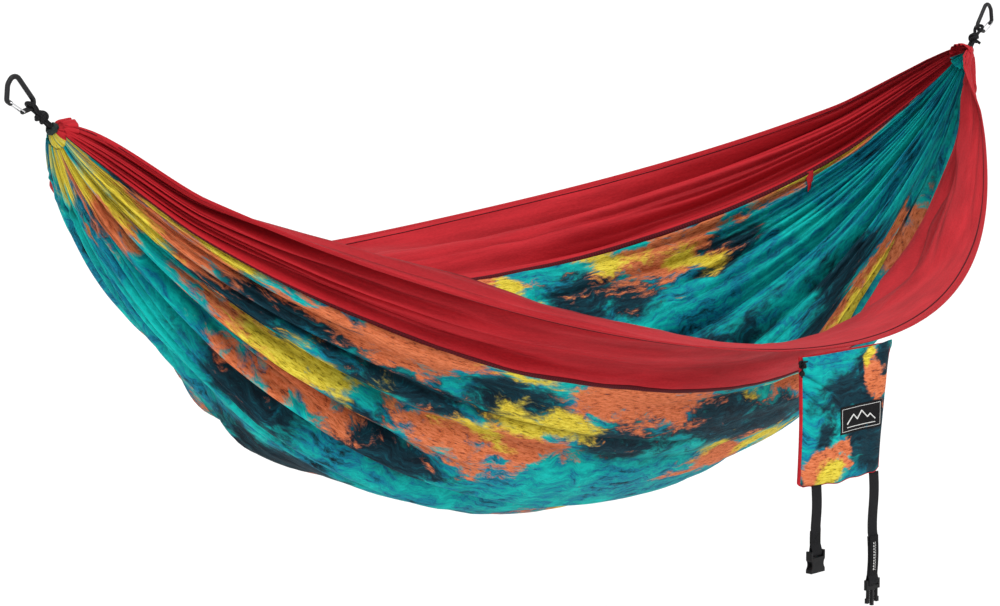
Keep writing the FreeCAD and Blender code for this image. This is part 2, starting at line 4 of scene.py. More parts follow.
import bpy
import numpy as np
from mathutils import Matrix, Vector


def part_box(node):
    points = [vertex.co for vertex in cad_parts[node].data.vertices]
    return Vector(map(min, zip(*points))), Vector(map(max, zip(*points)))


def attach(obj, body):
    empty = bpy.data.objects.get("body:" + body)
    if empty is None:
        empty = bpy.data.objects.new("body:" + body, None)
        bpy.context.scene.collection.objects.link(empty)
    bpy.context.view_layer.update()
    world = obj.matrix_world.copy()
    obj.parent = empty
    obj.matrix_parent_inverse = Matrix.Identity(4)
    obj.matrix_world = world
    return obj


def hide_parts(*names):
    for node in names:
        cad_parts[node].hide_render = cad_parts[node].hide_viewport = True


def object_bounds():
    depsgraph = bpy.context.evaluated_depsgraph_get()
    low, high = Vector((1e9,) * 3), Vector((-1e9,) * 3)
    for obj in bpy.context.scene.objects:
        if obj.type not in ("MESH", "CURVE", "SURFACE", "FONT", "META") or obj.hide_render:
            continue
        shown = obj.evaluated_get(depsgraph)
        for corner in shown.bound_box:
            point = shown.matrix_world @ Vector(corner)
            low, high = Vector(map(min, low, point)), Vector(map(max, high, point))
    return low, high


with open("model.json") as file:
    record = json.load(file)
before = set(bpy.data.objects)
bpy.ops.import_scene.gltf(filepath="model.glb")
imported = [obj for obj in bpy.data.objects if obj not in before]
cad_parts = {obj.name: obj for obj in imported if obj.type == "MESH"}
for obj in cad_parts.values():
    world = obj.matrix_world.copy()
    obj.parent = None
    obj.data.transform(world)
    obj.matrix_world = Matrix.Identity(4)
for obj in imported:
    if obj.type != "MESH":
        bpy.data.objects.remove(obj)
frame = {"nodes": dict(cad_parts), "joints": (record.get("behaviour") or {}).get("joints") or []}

# A two-person camping hammock, hung and empty, in metres: three cloth panels gathered at
# both ends, a rope and a carabiner at each gather, and a stuff sack on the near rim.

cad_low, cad_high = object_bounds()
nodes = frame["nodes"]
joint_at = {j["name"]: np.array(j["pos_m"]) for j in frame["joints"]}

# ---- where things are ------------------------------------------------------------------------

ROPE_ANGLE = {"left": math.radians(43), "right": math.radians(50)}
SIDE = {"left": -1.0, "right": 1.0}
SLEEVE_REACH = 0.012
SLEEVE_DROP = 0.021
ROPE_WAY = {end: np.array([SIDE[end] * math.cos(a), 0, math.sin(a)])
            for end, a in ROPE_ANGLE.items()}
PIVOT = {end: joint_at[end + "_tether_swing"] for end in SIDE}
SEAT = {end: joint_at[end + "_carabiner_swing"] for end in SIDE}
SLEEVE_BASE = {end: PIVOT[end] - ROPE_WAY[end] * SLEEVE_REACH for end in SIDE}
MIDDLE = (SLEEVE_BASE["left"] + SLEEVE_BASE["right"]) / 2 + np.array([0, 0, SLEEVE_DROP])

# ---- camera, floor and light -----------------------------------------------------------------

CAMERA_TURN = math.radians(-47.8)
CAMERA_RISE = math.radians(8.13)
CAMERA_DISTANCE = 5.41
CAMERA_LENS = 120.2
LOOK_AT = MIDDLE + np.array([-0.195, 0, -0.359])
FLOOR_DROP = 0.45


def make_camera():
    """A long lens that looks a little down at the hammock from beyond its left end."""
    back = Vector((math.sin(CAMERA_TURN) * math.cos(CAMERA_RISE),
                   -math.cos(CAMERA_TURN) * math.cos(CAMERA_RISE), math.sin(CAMERA_RISE)))
    lens = bpy.data.cameras.new("camera")
    lens.lens = CAMERA_LENS
    camera = bpy.data.objects.new("camera", lens)
    camera.location = Vector(LOOK_AT) + back * CAMERA_DISTANCE
    camera.rotation_euler = (-back).to_track_quat("-Z", "Y").to_euler()
    bpy.context.scene.collection.objects.link(camera)
    bpy.context.scene.camera = camera


def make_light(name, place, size, power):
    """A soft square lamp that faces the middle of the hammock."""
    lamp = bpy.data.lights.new(name, "AREA")
    lamp.size = size
    lamp.energy = power
    holder = bpy.data.objects.new(name, lamp)
    holder.location = place
    way = Vector(LOOK_AT) - holder.location
    holder.rotation_euler = way.to_track_quat("-Z", "Y").to_euler()
    bpy.context.scene.collection.objects.link(holder)


def make_sun(name, towards, strength, spread_degrees):
    """A wide soft lamp, far away, that shines from a direction."""
    lamp = bpy.data.lights.new(name, "SUN")
    lamp.energy = strength
    lamp.angle = math.radians(spread_degrees)
    holder = bpy.data.objects.new(name, lamp)
    holder.location = Vector(LOOK_AT) + Vector(towards).normalized() * 4
    holder.rotation_euler = Vector(towards).to_track_quat("Z", "Y").to_euler()
    bpy.context.scene.collection.objects.link(holder)


# ---- material helpers ------------------------------------------------------------------------

def new_material(name, roughness, specular, metallic=0.0):
    made = bpy.data.materials.new(name)
    made.use_nodes = True
    shader = made.node_tree.nodes["Principled BSDF"]
    shader.inputs["Roughness"].default_value = roughness
    shader.inputs["Specular IOR Level"].default_value = specular
    shader.inputs["Metallic"].default_value = metallic
    return made, made.node_tree, shader


def add(tree, kind, inputs=(), out=0, **settings):
    """A new node with its settings and inputs; sockets are linked and plain values set."""
    made = tree.nodes.new("ShaderNode" + kind)
    for key, value in settings.items():
        setattr(made, key, value)
    for key, value in dict(inputs).items():
        if isinstance(value, bpy.types.NodeSocket):
            tree.links.new(value, made.inputs[key])
        else:
            made.inputs[key].default_value = value
    return made.outputs[out]


def calc(tree, operation, *values):
    return add(tree, "Math", dict(enumerate(values)), operation=operation)


def noise(tree, vector, scale, detail=3.0, roughness=0.55, stretch=(1, 1, 1), turn=0.0):
    """Noise on stretched and turned coordinates, 0 to 1."""
    placed = add(tree, "Mapping", {"Vector": vector, "Scale": stretch,
                                   "Rotation": (0, 0, turn)})
    return add(tree, "TexNoise", {"Vector": placed, "Scale": scale, "Detail": detail,
                                  "Roughness": roughness})


def ramp(tree, factor, *stops):
    """A colour ramp with stops of (place, colour)."""
    made = tree.nodes.new("ShaderNodeValToRGB")
    band = made.color_ramp
    while len(band.elements) < len(stops):
        band.elements.new(0.5)
    for element, (place, colour) in zip(band.elements, stops):
        element.position = place
        element.color = (*colour, 1)
    tree.links.new(factor, made.inputs[0])
    return made.outputs[0]


def mixed(tree, factor, first, second):
    return add(tree, "Mix", {0: factor, 6: first, 7: second}, out=2, data_type="RGBA")


def edged(tree, field, low, high):
    """0 below low, 1 above high, smooth between."""
    return add(tree, "MapRange", {"Value": field, "From Min": low, "From Max": high},
               interpolation_type="SMOOTHSTEP")


def bumped(tree, shader, height, distance, strength=1.0):
    bump = add(tree, "Bump", {"Height": height, "Distance": distance, "Strength": strength})
    tree.links.new(bump, shader.inputs["Normal"])


def assign(thing, material):
    thing.data.materials.clear()
    thing.data.materials.append(material)
    return thing


# ---- mesh helpers ----------------------------------------------------------------------------

def grid_faces(rows, columns, wrap_rows=False, wrap_columns=False):
    """Quads over a grid of points, closed on itself where asked."""
    i = np.arange(rows if wrap_rows else rows - 1)[:, None]
    j = np.arange(columns if wrap_columns else columns - 1)[None, :]
    i2, j2 = (i + 1) % rows, (j + 1) % columns
    quads = [i * columns + j, i2 * columns + j, i2 * columns + j2, i * columns + j2]
    return np.stack([q.ravel() for q in np.broadcast_arrays(*quads)], -1)


def surface(name, points, wrap_rows=False, wrap_columns=False, capped=False, flat=None,
            marks=None, body="hammock"):
    """A smooth mesh over a grid of points, shape (rows, columns, 3).

    capped closes the first and last row with a middle point. flat gives the cloth's own
    coordinates, shape (rows, columns, 2), as a UV map, and marks gives point attributes.
    """
    rows, columns = points.shape[:2]
    corners = points.reshape(-1, 3)
    faces = grid_faces(rows, columns, wrap_rows, wrap_columns).tolist()
    if capped:
        first, last = len(corners), len(corners) + 1
        corners = np.vstack([corners, points[0].mean(0), points[-1].mean(0)])
        tail = (rows - 1) * columns
        for j in range(columns):
            k = (j + 1) % columns
            faces += [[j, k, first], [tail + k, tail + j, last]]
    mesh = bpy.data.meshes.new(name)
    mesh.from_pydata(corners.tolist(), [], faces)
    mesh.polygons.foreach_set("use_smooth", np.ones(len(faces), bool))
    if flat is not None:
        corner_of = np.zeros(len(mesh.loops), np.int32)
        mesh.loops.foreach_get("vertex_index", corner_of)
        places = np.vstack([flat.reshape(-1, 2), np.zeros((2, 2))])
        layer = mesh.uv_layers.new(name="cloth")
        layer.data.foreach_set("uv", places[corner_of].astype(np.float32).ravel())
    for label, values in (marks or {}).items():
        layer = mesh.attributes.new(label, "FLOAT", "POINT")
        filled = np.zeros(len(corners), np.float32)
        filled[:values.size] = values.ravel()
        layer.data.foreach_set("value", filled)
    mesh.update()
    made = bpy.data.objects.new(name, mesh)
    bpy.context.scene.collection.objects.link(made)
    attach(made, body)
    return made


def thicken(thing, thickness):
    """Gives a sheet its thickness, half to each side."""
    solid = thing.modifiers.new("thickness", "SOLIDIFY")
    solid.thickness = thickness
    solid.offset = 0
    return thing


def unit(v):
    return v / np.maximum(np.linalg.norm(v, axis=-1, keepdims=True), 1e-12)


def smooth(x):
    x = np.clip(x, 0, 1)
    return x * x * (3 - 2 * x)


def random_of(cell, seed):
    """A fixed random number from 0 to 1 for every whole number."""
    x = np.sin(np.asarray(cell) * 127.1 + seed * 311.7) * 43758.5453
    return x - np.floor(x)


def noise_line(x, seed):
    """Smooth random values along one parameter, 0 to 1."""
    cell = np.floor(x)
    share = smooth(x - cell)
    return random_of(cell, seed) * (1 - share) + random_of(cell + 1, seed) * share


def noise_plane(x, y, seed):
    """Smooth random values over two parameters, 0 to 1."""
    cx, cy = np.floor(x), np.floor(y)
    fx, fy = smooth(x - cx), smooth(y - cy)

    def corner(dx, dy):
        return random_of((cx + dx) + 57.0 * (cy + dy), seed)

    low = corner(0, 0) * (1 - fx) + corner(1, 0) * fx
    high = corner(0, 1) * (1 - fx) + corner(1, 1) * fx
    return low * (1 - fy) + high * fy


def layered(x, y, seed, layers=4):
    """Noise at several scales, each half the size and strength of the last, 0 to 1."""
    total, weight = 0.0, 0.0
    for k in range(layers):
        total = total + noise_plane(x * 2 ** k, y * 2 ** k, seed + 3 * k) / 2 ** k
        weight += 1 / 2 ** k
    return total / weight


def frames_along(line):
    """Two unit vectors square to a line of points, carried along it without twisting."""
    way = unit(np.gradient(line, axis=0))
    side = np.empty_like(way)
    start = np.cross(way[0], [0.0, 0.0, 1.0])
    if np.linalg.norm(start) < 0.1:
        start = np.cross(way[0], [0.0, 1.0, 0.0])
    side[0] = start / np.linalg.norm(start)
    for k in range(1, len(line)):
        turned = side[k - 1] - way[k] * (side[k - 1] @ way[k])
        side[k] = turned / np.linalg.norm(turned)
    return side, np.cross(way, side)


def smooth_line(points, steps=8):
    """A NURBS line of order 3 through a route's ends, read back as points."""
    data = bpy.data.curves.new("route", "CURVE")
    data.dimensions = "3D"
    spline = data.splines.new("NURBS")
    spline.points.add(len(points) - 1)
    spline.points.foreach_set("co", np.hstack([points, np.ones((len(points), 1))]).ravel())
    spline.order_u = 3
    spline.use_endpoint_u = True
    spline.resolution_u = steps
    holder = bpy.data.objects.new("route", data)
    mesh = bpy.data.meshes.new_from_object(holder)
    line = np.empty(len(mesh.vertices) * 3)
    mesh.vertices.foreach_get("co", line)
    bpy.data.objects.remove(holder)
    bpy.data.meshes.remove(mesh)
    bpy.data.curves.remove(data)
    return line.reshape(-1, 3)


def walked(line):
    """How far along a line of points each point lies."""
    return np.concatenate([[0], np.cumsum(np.linalg.norm(np.diff(line, axis=0), axis=1))])


def ringed(name, line, side, up, angle, radius, body, closed):
    """The surface of rings set round a line, with its own flat coordinates."""
    ring = side[:, None] * np.cos(angle)[None, :, None] + up[:, None] * np.sin(angle)[None, :, None]
    flat = np.stack(np.broadcast_arrays(walked(line)[:, None], angle[None, :] / (2 * math.pi)), -1)
    return surface(name, (line[:, None] + ring * radius)[:, ::-1], wrap_rows=closed,
                   wrap_columns=True, capped=not closed, flat=flat, body=body)


def tube(name, line, radius, body, sides):
    """A round tube carried along a line of points."""
    side, up = frames_along(line)
    angle = np.linspace(0, 2 * math.pi, sides, endpoint=False)
    return ringed(name, line, side, up, angle, radius, body, closed=False)


# ---- materials -------------------------------------------------------------------------------

TURQUOISE = (0.002, 0.31, 0.31)
BRIGHT_TURQUOISE = (0.004, 0.52, 0.47)
BLUE = (0.006, 0.19, 0.33)
DEEP_TEAL = (0.003, 0.115, 0.155)
NAVY = (0.003, 0.013, 0.022)
SLATE = (0.006, 0.042, 0.062)
ORANGE = (0.60, 0.145, 0.050)
SALMON = (0.78, 0.24, 0.11)
RUST = (0.20, 0.042, 0.022)
YELLOW = (0.66, 0.50, 0.035)
LEMON = (0.84, 0.72, 0.09)
OLIVE = (0.17, 0.15, 0.012)
CRIMSON = (0.34, 0.010, 0.016)
LIGHT_CRIMSON = (0.53, 0.020, 0.029)
MAROON = (0.045, 0.002, 0.005)
BLACK = (0.003, 0.003, 0.0035)
SOFT_BLACK = (0.010, 0.010, 0.011)


def cloth_crinkle(tree, flat, strength=1.0):
    """The fine lengthwise crinkle of washed nylon, with a broader one under it."""
    fine = noise(tree, flat, 150, 4, 0.6, stretch=(0.35, 1, 1))
    broad = noise(tree, flat, 42, 3, 0.5, stretch=(0.4, 1, 1), turn=0.15)
    return calc(tree, "MULTIPLY_ADD", broad, 0.9 * strength, calc(tree, "MULTIPLY", fine, strength))


def spread(tree, field, low=0.34, high=0.66):
    """Noise stretched to fill 0 to 1."""
    return add(tree, "MapRange", {"Value": field, "From Min": low, "From Max": high})


def crease_shaded(tree, colour, depth):
    """Painted shade: darkens a colour in the bottoms of the folds."""
    fold = add(tree, "Attribute", attribute_name="crease", out="Fac")
    shade = calc(tree, "SUBTRACT", 1.0, calc(tree, "MULTIPLY", fold, depth))
    return add(tree, "VectorMath", {0: colour, "Scale": shade}, operation="SCALE")


def make_print():
    """Painted nylon: turquoise ground with brushed navy, orange and yellow blooms.

    The blooms' places are point attributes; warped brush noise breaks their edges.
    """
    made, tree, shader = new_material("painted_nylon", 0.66, 0.07)
    flat = add(tree, "UVMap", uv_map="cloth")
    swirl = add(tree, "TexNoise", {"Vector": flat, "Scale": 13.0, "Detail": 3.0}, out="Color")
    swirl = add(tree, "VectorMath", {0: swirl, 1: (0.5, 0.5, 0.5)}, operation="SUBTRACT")
    warped = add(tree, "VectorMath", {0: swirl, 1: (0.07, 0.07, 0.0), 2: flat},
                 operation="MULTIPLY_ADD")
    brush = noise(tree, warped, 16, 9, 0.66, stretch=(0.8, 2.0, 1), turn=0.6)
    streak = noise(tree, warped, 30, 10, 0.80, stretch=(0.45, 2.8, 1), turn=0.2)
    dabs = noise(tree, warped, 7, 9, 0.74, turn=0.9)
    flecks = noise(tree, flat, 75, 6, 0.72, stretch=(0.6, 1.7, 1), turn=0.95)
    hatch = noise(tree, flat, 150, 5, 0.8, stretch=(0.35, 2.4, 1), turn=-0.7)
    ragged = calc(tree, "MULTIPLY_ADD", brush, 1.9, calc(tree, "MULTIPLY_ADD", flecks, 0.45,
                                                        calc(tree, "MULTIPLY", streak, 0.55)))
    ragged = calc(tree, "SUBTRACT", ragged, 1.45)

    def bloom(label, edge, softness):
        field = add(tree, "Attribute", attribute_name=label, out="Fac")
        return edged(tree, calc(tree, "ADD", field, ragged), edge - softness, edge + softness)

    tide = calc(tree, "MULTIPLY_ADD", spread(tree, dabs), 0.50,
                calc(tree, "MULTIPLY", spread(tree, streak), 0.50))
    sea = ramp(tree, tide, (0.18, NAVY), (0.30, DEEP_TEAL), (0.40, BLUE), (0.50, TURQUOISE),
               (0.74, BRIGHT_TURQUOISE))
    dark = ramp(tree, spread(tree, streak), (0.25, NAVY), (0.70, SLATE), (0.98, DEEP_TEAL))
    grain = calc(tree, "MULTIPLY_ADD", spread(tree, hatch), 0.6,
                 calc(tree, "MULTIPLY", spread(tree, flecks), 0.4))
    warm = ramp(tree, grain, (0.06, SLATE), (0.22, RUST), (0.42, ORANGE), (0.80, SALMON))
    sun = ramp(tree, grain, (0.08, RUST), (0.22, OLIVE), (0.44, YELLOW), (0.78, LEMON))
    colour = mixed(tree, bloom("navy", 0.46, 0.24), sea, dark)
    colour = mixed(tree, bloom("orange", 0.50, 0.13), colour, warm)
    colour = mixed(tree, bloom("yellow", 0.56, 0.22), colour, sun)
    # painted shade: the print is darkened in the bottoms of the folds
    tree.links.new(crease_shaded(tree, colour, 0.80), shader.inputs["Base Color"])
    bumped(tree, shader, cloth_crinkle(tree, flat), 0.0022, 0.75)
    return made


def make_crimson():
    """Crimson nylon with a satin face, faint lengthwise streaks and painted shade in its creases.
    """
    made, tree, shader = new_material("crimson_nylon", 0.60, 0.09)
    flat = add(tree, "UVMap", uv_map="cloth")
    streaks = noise(tree, flat, 24, 5, 0.6, stretch=(0.25, 2.2, 1))
    threads = noise(tree, flat, 420, 2, 0.5, stretch=(0.3, 1, 1))
    tone = calc(tree, "MULTIPLY_ADD", threads, 0.35, calc(tree, "MULTIPLY", streaks, 0.75))
    colour = ramp(tree, tone, (0.36, CRIMSON), (0.70, LIGHT_CRIMSON))
    # painted shade: the crimson is darkened in the bottoms of the folds
    tree.links.new(crease_shaded(tree, colour, 0.50), shader.inputs["Base Color"])
    bumped(tree, shader, cloth_crinkle(tree, flat, 0.8), 0.0016, 0.6)
    return made


def make_plain(name, dark, light, roughness, grain, depth, specular=0.15, metallic=0.0):
    """A finish with fine grain: two close tones and a small bump, on object coordinates."""
    made, tree, shader = new_material(name, roughness, specular, metallic)
    place = add(tree, "TexCoord", out="Object")
    fine = noise(tree, place, grain, 4, 0.6)
    broad = noise(tree, place, grain / 12, 3, 0.5)
    tone = calc(tree, "MULTIPLY_ADD", fine, 0.6, calc(tree, "MULTIPLY", broad, 0.4))
    tree.links.new(ramp(tree, tone, (0.35, dark), (0.7, light)), shader.inputs["Base Color"])
    rough = add(tree, "MapRange", {"Value": fine, "To Min": roughness - 0.07,
                                   "To Max": roughness + 0.10})
    tree.links.new(rough, shader.inputs["Roughness"])
    bumped(tree, shader, fine, depth, 0.6)
    return made


def make_woven(name, dark, light, ribs, rows, depth=0.0004):
    """A woven or braided finish: crossed waves on the piece's own flat coordinates.

    ribs and rows are threads per unit of the coordinates, along and across.
    """
    made, tree, shader = new_material(name, 0.66, 0.10)
    flat = add(tree, "UVMap", uv_map="cloth")
    split = add(tree, "SeparateXYZ", {0: flat}, out=0)
    across = split.node.outputs[1]
    lean = calc(tree, "MULTIPLY", across, rows)
    first = calc(tree, "SINE", calc(tree, "MULTIPLY", calc(
        tree, "MULTIPLY_ADD", split, ribs, lean), 2 * math.pi))
    second = calc(tree, "SINE", calc(tree, "MULTIPLY", calc(
        tree, "SUBTRACT", calc(tree, "MULTIPLY", split, ribs), lean), 2 * math.pi))
    weave = calc(tree, "MULTIPLY", calc(tree, "ADD", first, second), 0.5)
    height = calc(tree, "MULTIPLY_ADD", weave, 0.5, 0.5)
    fuzz = noise(tree, flat, 900, 3, 0.6)
    tone = calc(tree, "MULTIPLY_ADD", fuzz, 0.5, calc(tree, "MULTIPLY", height, 0.6))
    tree.links.new(ramp(tree, tone, (0.25, dark), (0.85, light)), shader.inputs["Base Color"])
    bumped(tree, shader, height, depth, 0.9)
    return made


PAINTED = make_print()
RED = make_crimson()
SEAM_RED = make_woven("seam_crimson", MAROON, (0.11, 0.005, 0.010), 160, 2)
BRAID = make_woven("braided_cord", BLACK, (0.020, 0.020, 0.022), 300, 4)
WEBBING = make_woven("flat_webbing", BLACK, (0.016, 0.016, 0.018), 450, 420)
ALLOY = make_plain("black_anodised", (0.006, 0.006, 0.007), (0.018, 0.018, 0.020), 0.38, 500,
                   0.00006, 0.35, 0.3)
STEEL = make_plain("bright_wire", (0.50, 0.50, 0.51), (0.80, 0.80, 0.82), 0.25, 700,
                   0.00003, 0.5, 1.0)
PLASTIC = make_plain("moulded_black", BLACK, SOFT_BLACK, 0.45, 1400, 0.00005)


# ---- the hung cloth --------------------------------------------------------------------------

HALF_CHORD = 1.125
BUNCH = 0.024
PANEL_END = 0.996
FLAT_LENGTH = 2.74
NEAR_WIDTH = 0.29
CENTRE_WIDTH = 1.24
FAR_WIDTH = 0.24
CLOTH_WIDTH = NEAR_WIDTH + CENTRE_WIDTH + FAR_WIDTH
CLOTH_THICKNESS = 0.0007
COLUMNS = 171
# The hung surface has no value past its ends, so its slope is taken just inside them.
LAST = 0.9999


def near_seam(s):
    return -(0.619 - 0.131 * s)


def far_seam(s):
    return 0.775 - 0.131 * s


def hung(s, v):
    """The cloth without its folds; s runs -1..1 from end to end and v -1..1 from rim to rim.

    The distance from the chord falls from its middle value to the bunch radius as a
    superellipse of s, blending from belly to rim with the square of v, and the angle
    round the chord grows with v.
    """
    a, rim, near = np.abs(s), v * v, v < 0
    soft = np.sqrt((a * a + 0.012) / 1.012)
    belly = (1 - a ** 2.09) ** 0.742
    edge = np.where(near, np.clip(1 - soft ** 1.94, 0, 1) ** 1.03,
                    np.clip(1 - soft ** 1.40, 0, 1) ** 0.773)
    radius = (BUNCH + 0.696 * belly * (1 - rim) + np.where(near, 0.672, 0.756) * edge * rim)
    radius = radius * (1 - 0.74 * rim * (1 - rim) * belly)
    angle = np.radians(np.where(near, 55.3, 63.0)) * (1 - 0.109 * a * a) * v
    return MIDDLE + np.stack([HALF_CHORD * s, radius * np.sin(angle),
                              -radius * np.cos(angle)], -1)


def flat_across(s, v):
    """Where a point of the cloth lay across the flat cut, from the near rim."""
    near, far = near_seam(s), far_seam(s)
    return np.where(
        v < near, NEAR_WIDTH * (v + 1) / (near + 1),
        np.where(v < far, NEAR_WIDTH + CENTRE_WIDTH * (v - near) / (far - near),
                 NEAR_WIDTH + CENTRE_WIDTH + FAR_WIDTH * (v - far) / (1 - far)))


def valley(phase, sharp):
    """1 in the bottom of each crease and 0 half way to the next."""
    return 1 - np.abs(np.sin(math.pi * phase)) ** sharp


def creases(s, across, spacing, seed, low_reach, high_reach, sharp):
    """Creases that run from a gather along the cloth, each with its own depth and reach.

    Returns how deep each place lies in its crease and how near it is to the crease's line, which
    sets the painted shade there.
    """
    deep, line = 0.0, 0.0
    for end, side in ((0, -1), (1, 1)):
        phase = across / spacing + 0.9 * noise_line(across / spacing * 0.6, seed + end)
        phase = phase + 0.35 * noise_plane(s * 3, across / spacing * 0.4, seed + 5 + end)
        cell = np.round(phase)
        depth = 0.35 + 0.65 * random_of(cell, seed + 2 + end)
        reach = low_reach + (high_reach - low_reach) * random_of(cell, seed + 7 + end) ** 1.5
        begun = smooth((side * s - (1 - reach)) / (0.35 * reach))
        fall = valley(phase, sharp)
        deep = deep + depth * begun * fall
        line = np.maximum(line, depth ** 0.5 * begun * fall ** 2.2)
    return deep, line


def folds(s, v):
    """How far the cloth stands out of the hung surface, and how much painted shade darkens its
    creases.
    """
    across = flat_across(s, v)
    a = np.abs(s)
    # how much narrower the cloth hangs here than it was cut
    share = 0.84 * (1 - np.minimum(a, 1) ** 2) ** 0.75 + 0.012
    wide, wide_line = creases(s, across, 0.150, 11, 0.6, 1.5, 1.2)
    middle, middle_line = creases(s, across, 0.062, 23, 0.40, 1.3, 0.7)
    small, small_line = creases(s, across, 0.031, 37, 0.20, 0.75, 0.8)
    dented = -(wide * 0.150 * (0.14 + 0.85 * a ** 1.5) + middle * 0.062 * (0.20 + 1.2 * a ** 1.5)
               + small * 0.031 * (0.3 + 1.1 * a ** 2)) * share
    inside = smooth((across - 0.75) / 0.35) * (1 - smooth((-s - 0.55) / 0.25))
    height = dented * (1 - inside) - dented * inside
    # stitched hems and seams hold the cloth flatter
    seams = np.minimum(np.abs(across - NEAR_WIDTH),
                       np.abs(across - NEAR_WIDTH - CENTRE_WIDTH))
    held = 1 - 0.5 * np.exp(-(seams / 0.03) ** 2) * (1 - a ** 4)
    rims = np.minimum(across, CLOTH_WIDTH - across)
    kept = held * smooth(rims / 0.05 + 0.12 + 0.5 * a ** 8)
    # washed cloth is never quite even
    ripple = layered(s * 9 + 40, across * 14 + 9, 51, 3) - 0.5
    height = height * kept + 0.010 * ripple * smooth(rims / 0.06) * (1 - a ** 6)
    # the near panel hangs in broad soft folds: a hollow down its middle and one by its seam
    sway = 0.018 * np.sin(s * 5 + 1) + 0.012 * np.sin(s * 13)
    hollow = (np.exp(-((across - 0.150 - sway) / 0.032) ** 2)
              + 0.6 * np.exp(-((across - 0.245 + sway) / 0.022) ** 2)) * (1 - a ** 4)
    height = height - 0.013 * hollow
    # the sewn end channels pucker where they bunch
    pucker = np.exp(-((a - 0.945) / 0.018) ** 2)
    crumple = layered(s * 160, across * 60, 71, 2) - 0.5
    # painted shade: the crease lines and the crumpled puckers of the end channels darken the colour
    line = np.maximum(np.maximum(0.6 * wide_line, middle_line), 0.9 * small_line)
    shade = line * kept * (0.70 + 0.45 * a) + 1.6 * pucker * np.clip(crumple, 0, 1)
    # painted shade: a dark band down the near panel's hollows
    shade = shade + 0.55 * hollow * (0.55 + 0.9 * layered(s * 7, across * 20, 83, 2))
    return height + 0.009 * crumple * pucker, np.clip(shade, 0, 1)


def rim_lift(s, v):
    """Near the gathers the rims are drawn up to the top of the bunch."""
    ends = smooth((np.abs(s) - 0.86) / 0.135)
    return ends * np.abs(v) ** 5


def cloth(s, v):
    """The cloth with its folds: the hung surface moved along its normal."""
    step = 1e-3
    base = hung(s, v)
    after, before = np.clip(s + step, -LAST, LAST), np.clip(s - step, -LAST, LAST)
    slope = hung(after, v) - hung(before, v)
    turn = hung(s, v + step) - hung(s, v - step)
    normal = unit(np.cross(slope, turn))
    side = np.sign(s)[..., None]
    outward = base - (MIDDLE + np.stack([HALF_CHORD * s, 0 * s, 0 * s], -1))
    normal = normal * np.sign((normal * outward).sum(-1, keepdims=True))
    made = base + normal * folds(s, v)[0][..., None]
    lifted = rim_lift(s, v)[..., None]
    top = np.where(side < 0, SLEEVE_BASE["left"], SLEEVE_BASE["right"])
    around = np.radians(150) * np.sign(v)
    crown = np.stack([made[..., 0], top[..., 1] + 0.021 * np.sin(around),
                      top[..., 2] - 0.021 * np.cos(around)], -1)
    return made * (1 - 0.75 * lifted) + crown * 0.75 * lifted


def stations():
    """Places along the cloth, closer together towards the gathers."""
    return np.sin(np.linspace(-1, 1, COLUMNS) * math.asin(PANEL_END))[:, None]


# Where the print's blooms lie on the flat cloth: middle along and across, and half sizes.
ORANGE_BLOOMS = (
    (-1.31, 0.66, 0.05, 0.16), (-1.22, 0.37, 0.10, 0.05), (-1.05, 0.56, 0.10, 0.06),
    (-1.04, 0.72, 0.07, 0.05), (-0.93, 0.62, 0.10, 0.05), (-0.98, 0.33, 0.07, 0.04),
    (-0.80, 0.34, 0.10, 0.06), (-0.60, 0.54, 0.12, 0.05), (-0.47, 0.50, 0.10, 0.05),
    (-0.36, 0.34, 0.09, 0.05), (-0.20, 0.34, 0.13, 0.06), (0.14, 0.56, 0.12, 0.04),
    (0.34, 0.36, 0.12, 0.03), (0.70, 1.45, 0.13, 0.07), (0.83, 1.50, 0.05, 0.03),
    (0.24, 1.48, 0.10, 0.05), (1.05, 1.50, 0.10, 0.025), (1.19, 1.49, 0.05, 0.02),
    (1.06, 0.80, 0.07, 0.07), (0.93, 0.78, 0.08, 0.08), (1.01, 0.52, 0.07, 0.06),
    (0.50, 0.80, 0.12, 0.06), (-0.10, 0.85, 0.12, 0.08), (-0.45, 1.05, 0.14, 0.07),
    (-0.85, 1.20, 0.10, 0.09), (-0.15, 1.30, 0.12, 0.06),
)
YELLOW_BLOOMS = (
    (-1.35, 0.80, 0.030, 0.42), (-1.30, 0.44, 0.04, 0.10), (-1.14, 0.31, 0.06, 0.03),
    (-1.02, 0.53, 0.07, 0.035), (-0.93, 0.50, 0.08, 0.035), (-0.58, 0.50, 0.08, 0.035),
    (-0.44, 0.43, 0.10, 0.035), (0.08, 0.50, 0.05, 0.025), (0.33, 0.56, 0.09, 0.025),
    (0.60, 1.47, 0.06, 0.045), (0.78, 1.41, 0.04, 0.05), (0.34, 1.46, 0.03, 0.05),
    (1.12, 1.51, 0.09, 0.020), (0.95, 0.74, 0.10, 0.035), (-0.10, 0.83, 0.06, 0.05),
    (-0.47, 1.05, 0.07, 0.04), (-0.86, 1.20, 0.05, 0.05), (0.50, 0.80, 0.06, 0.03),
    (-0.58, 0.315, 0.08, 0.015), (0.20, 0.33, 0.08, 0.02),
)
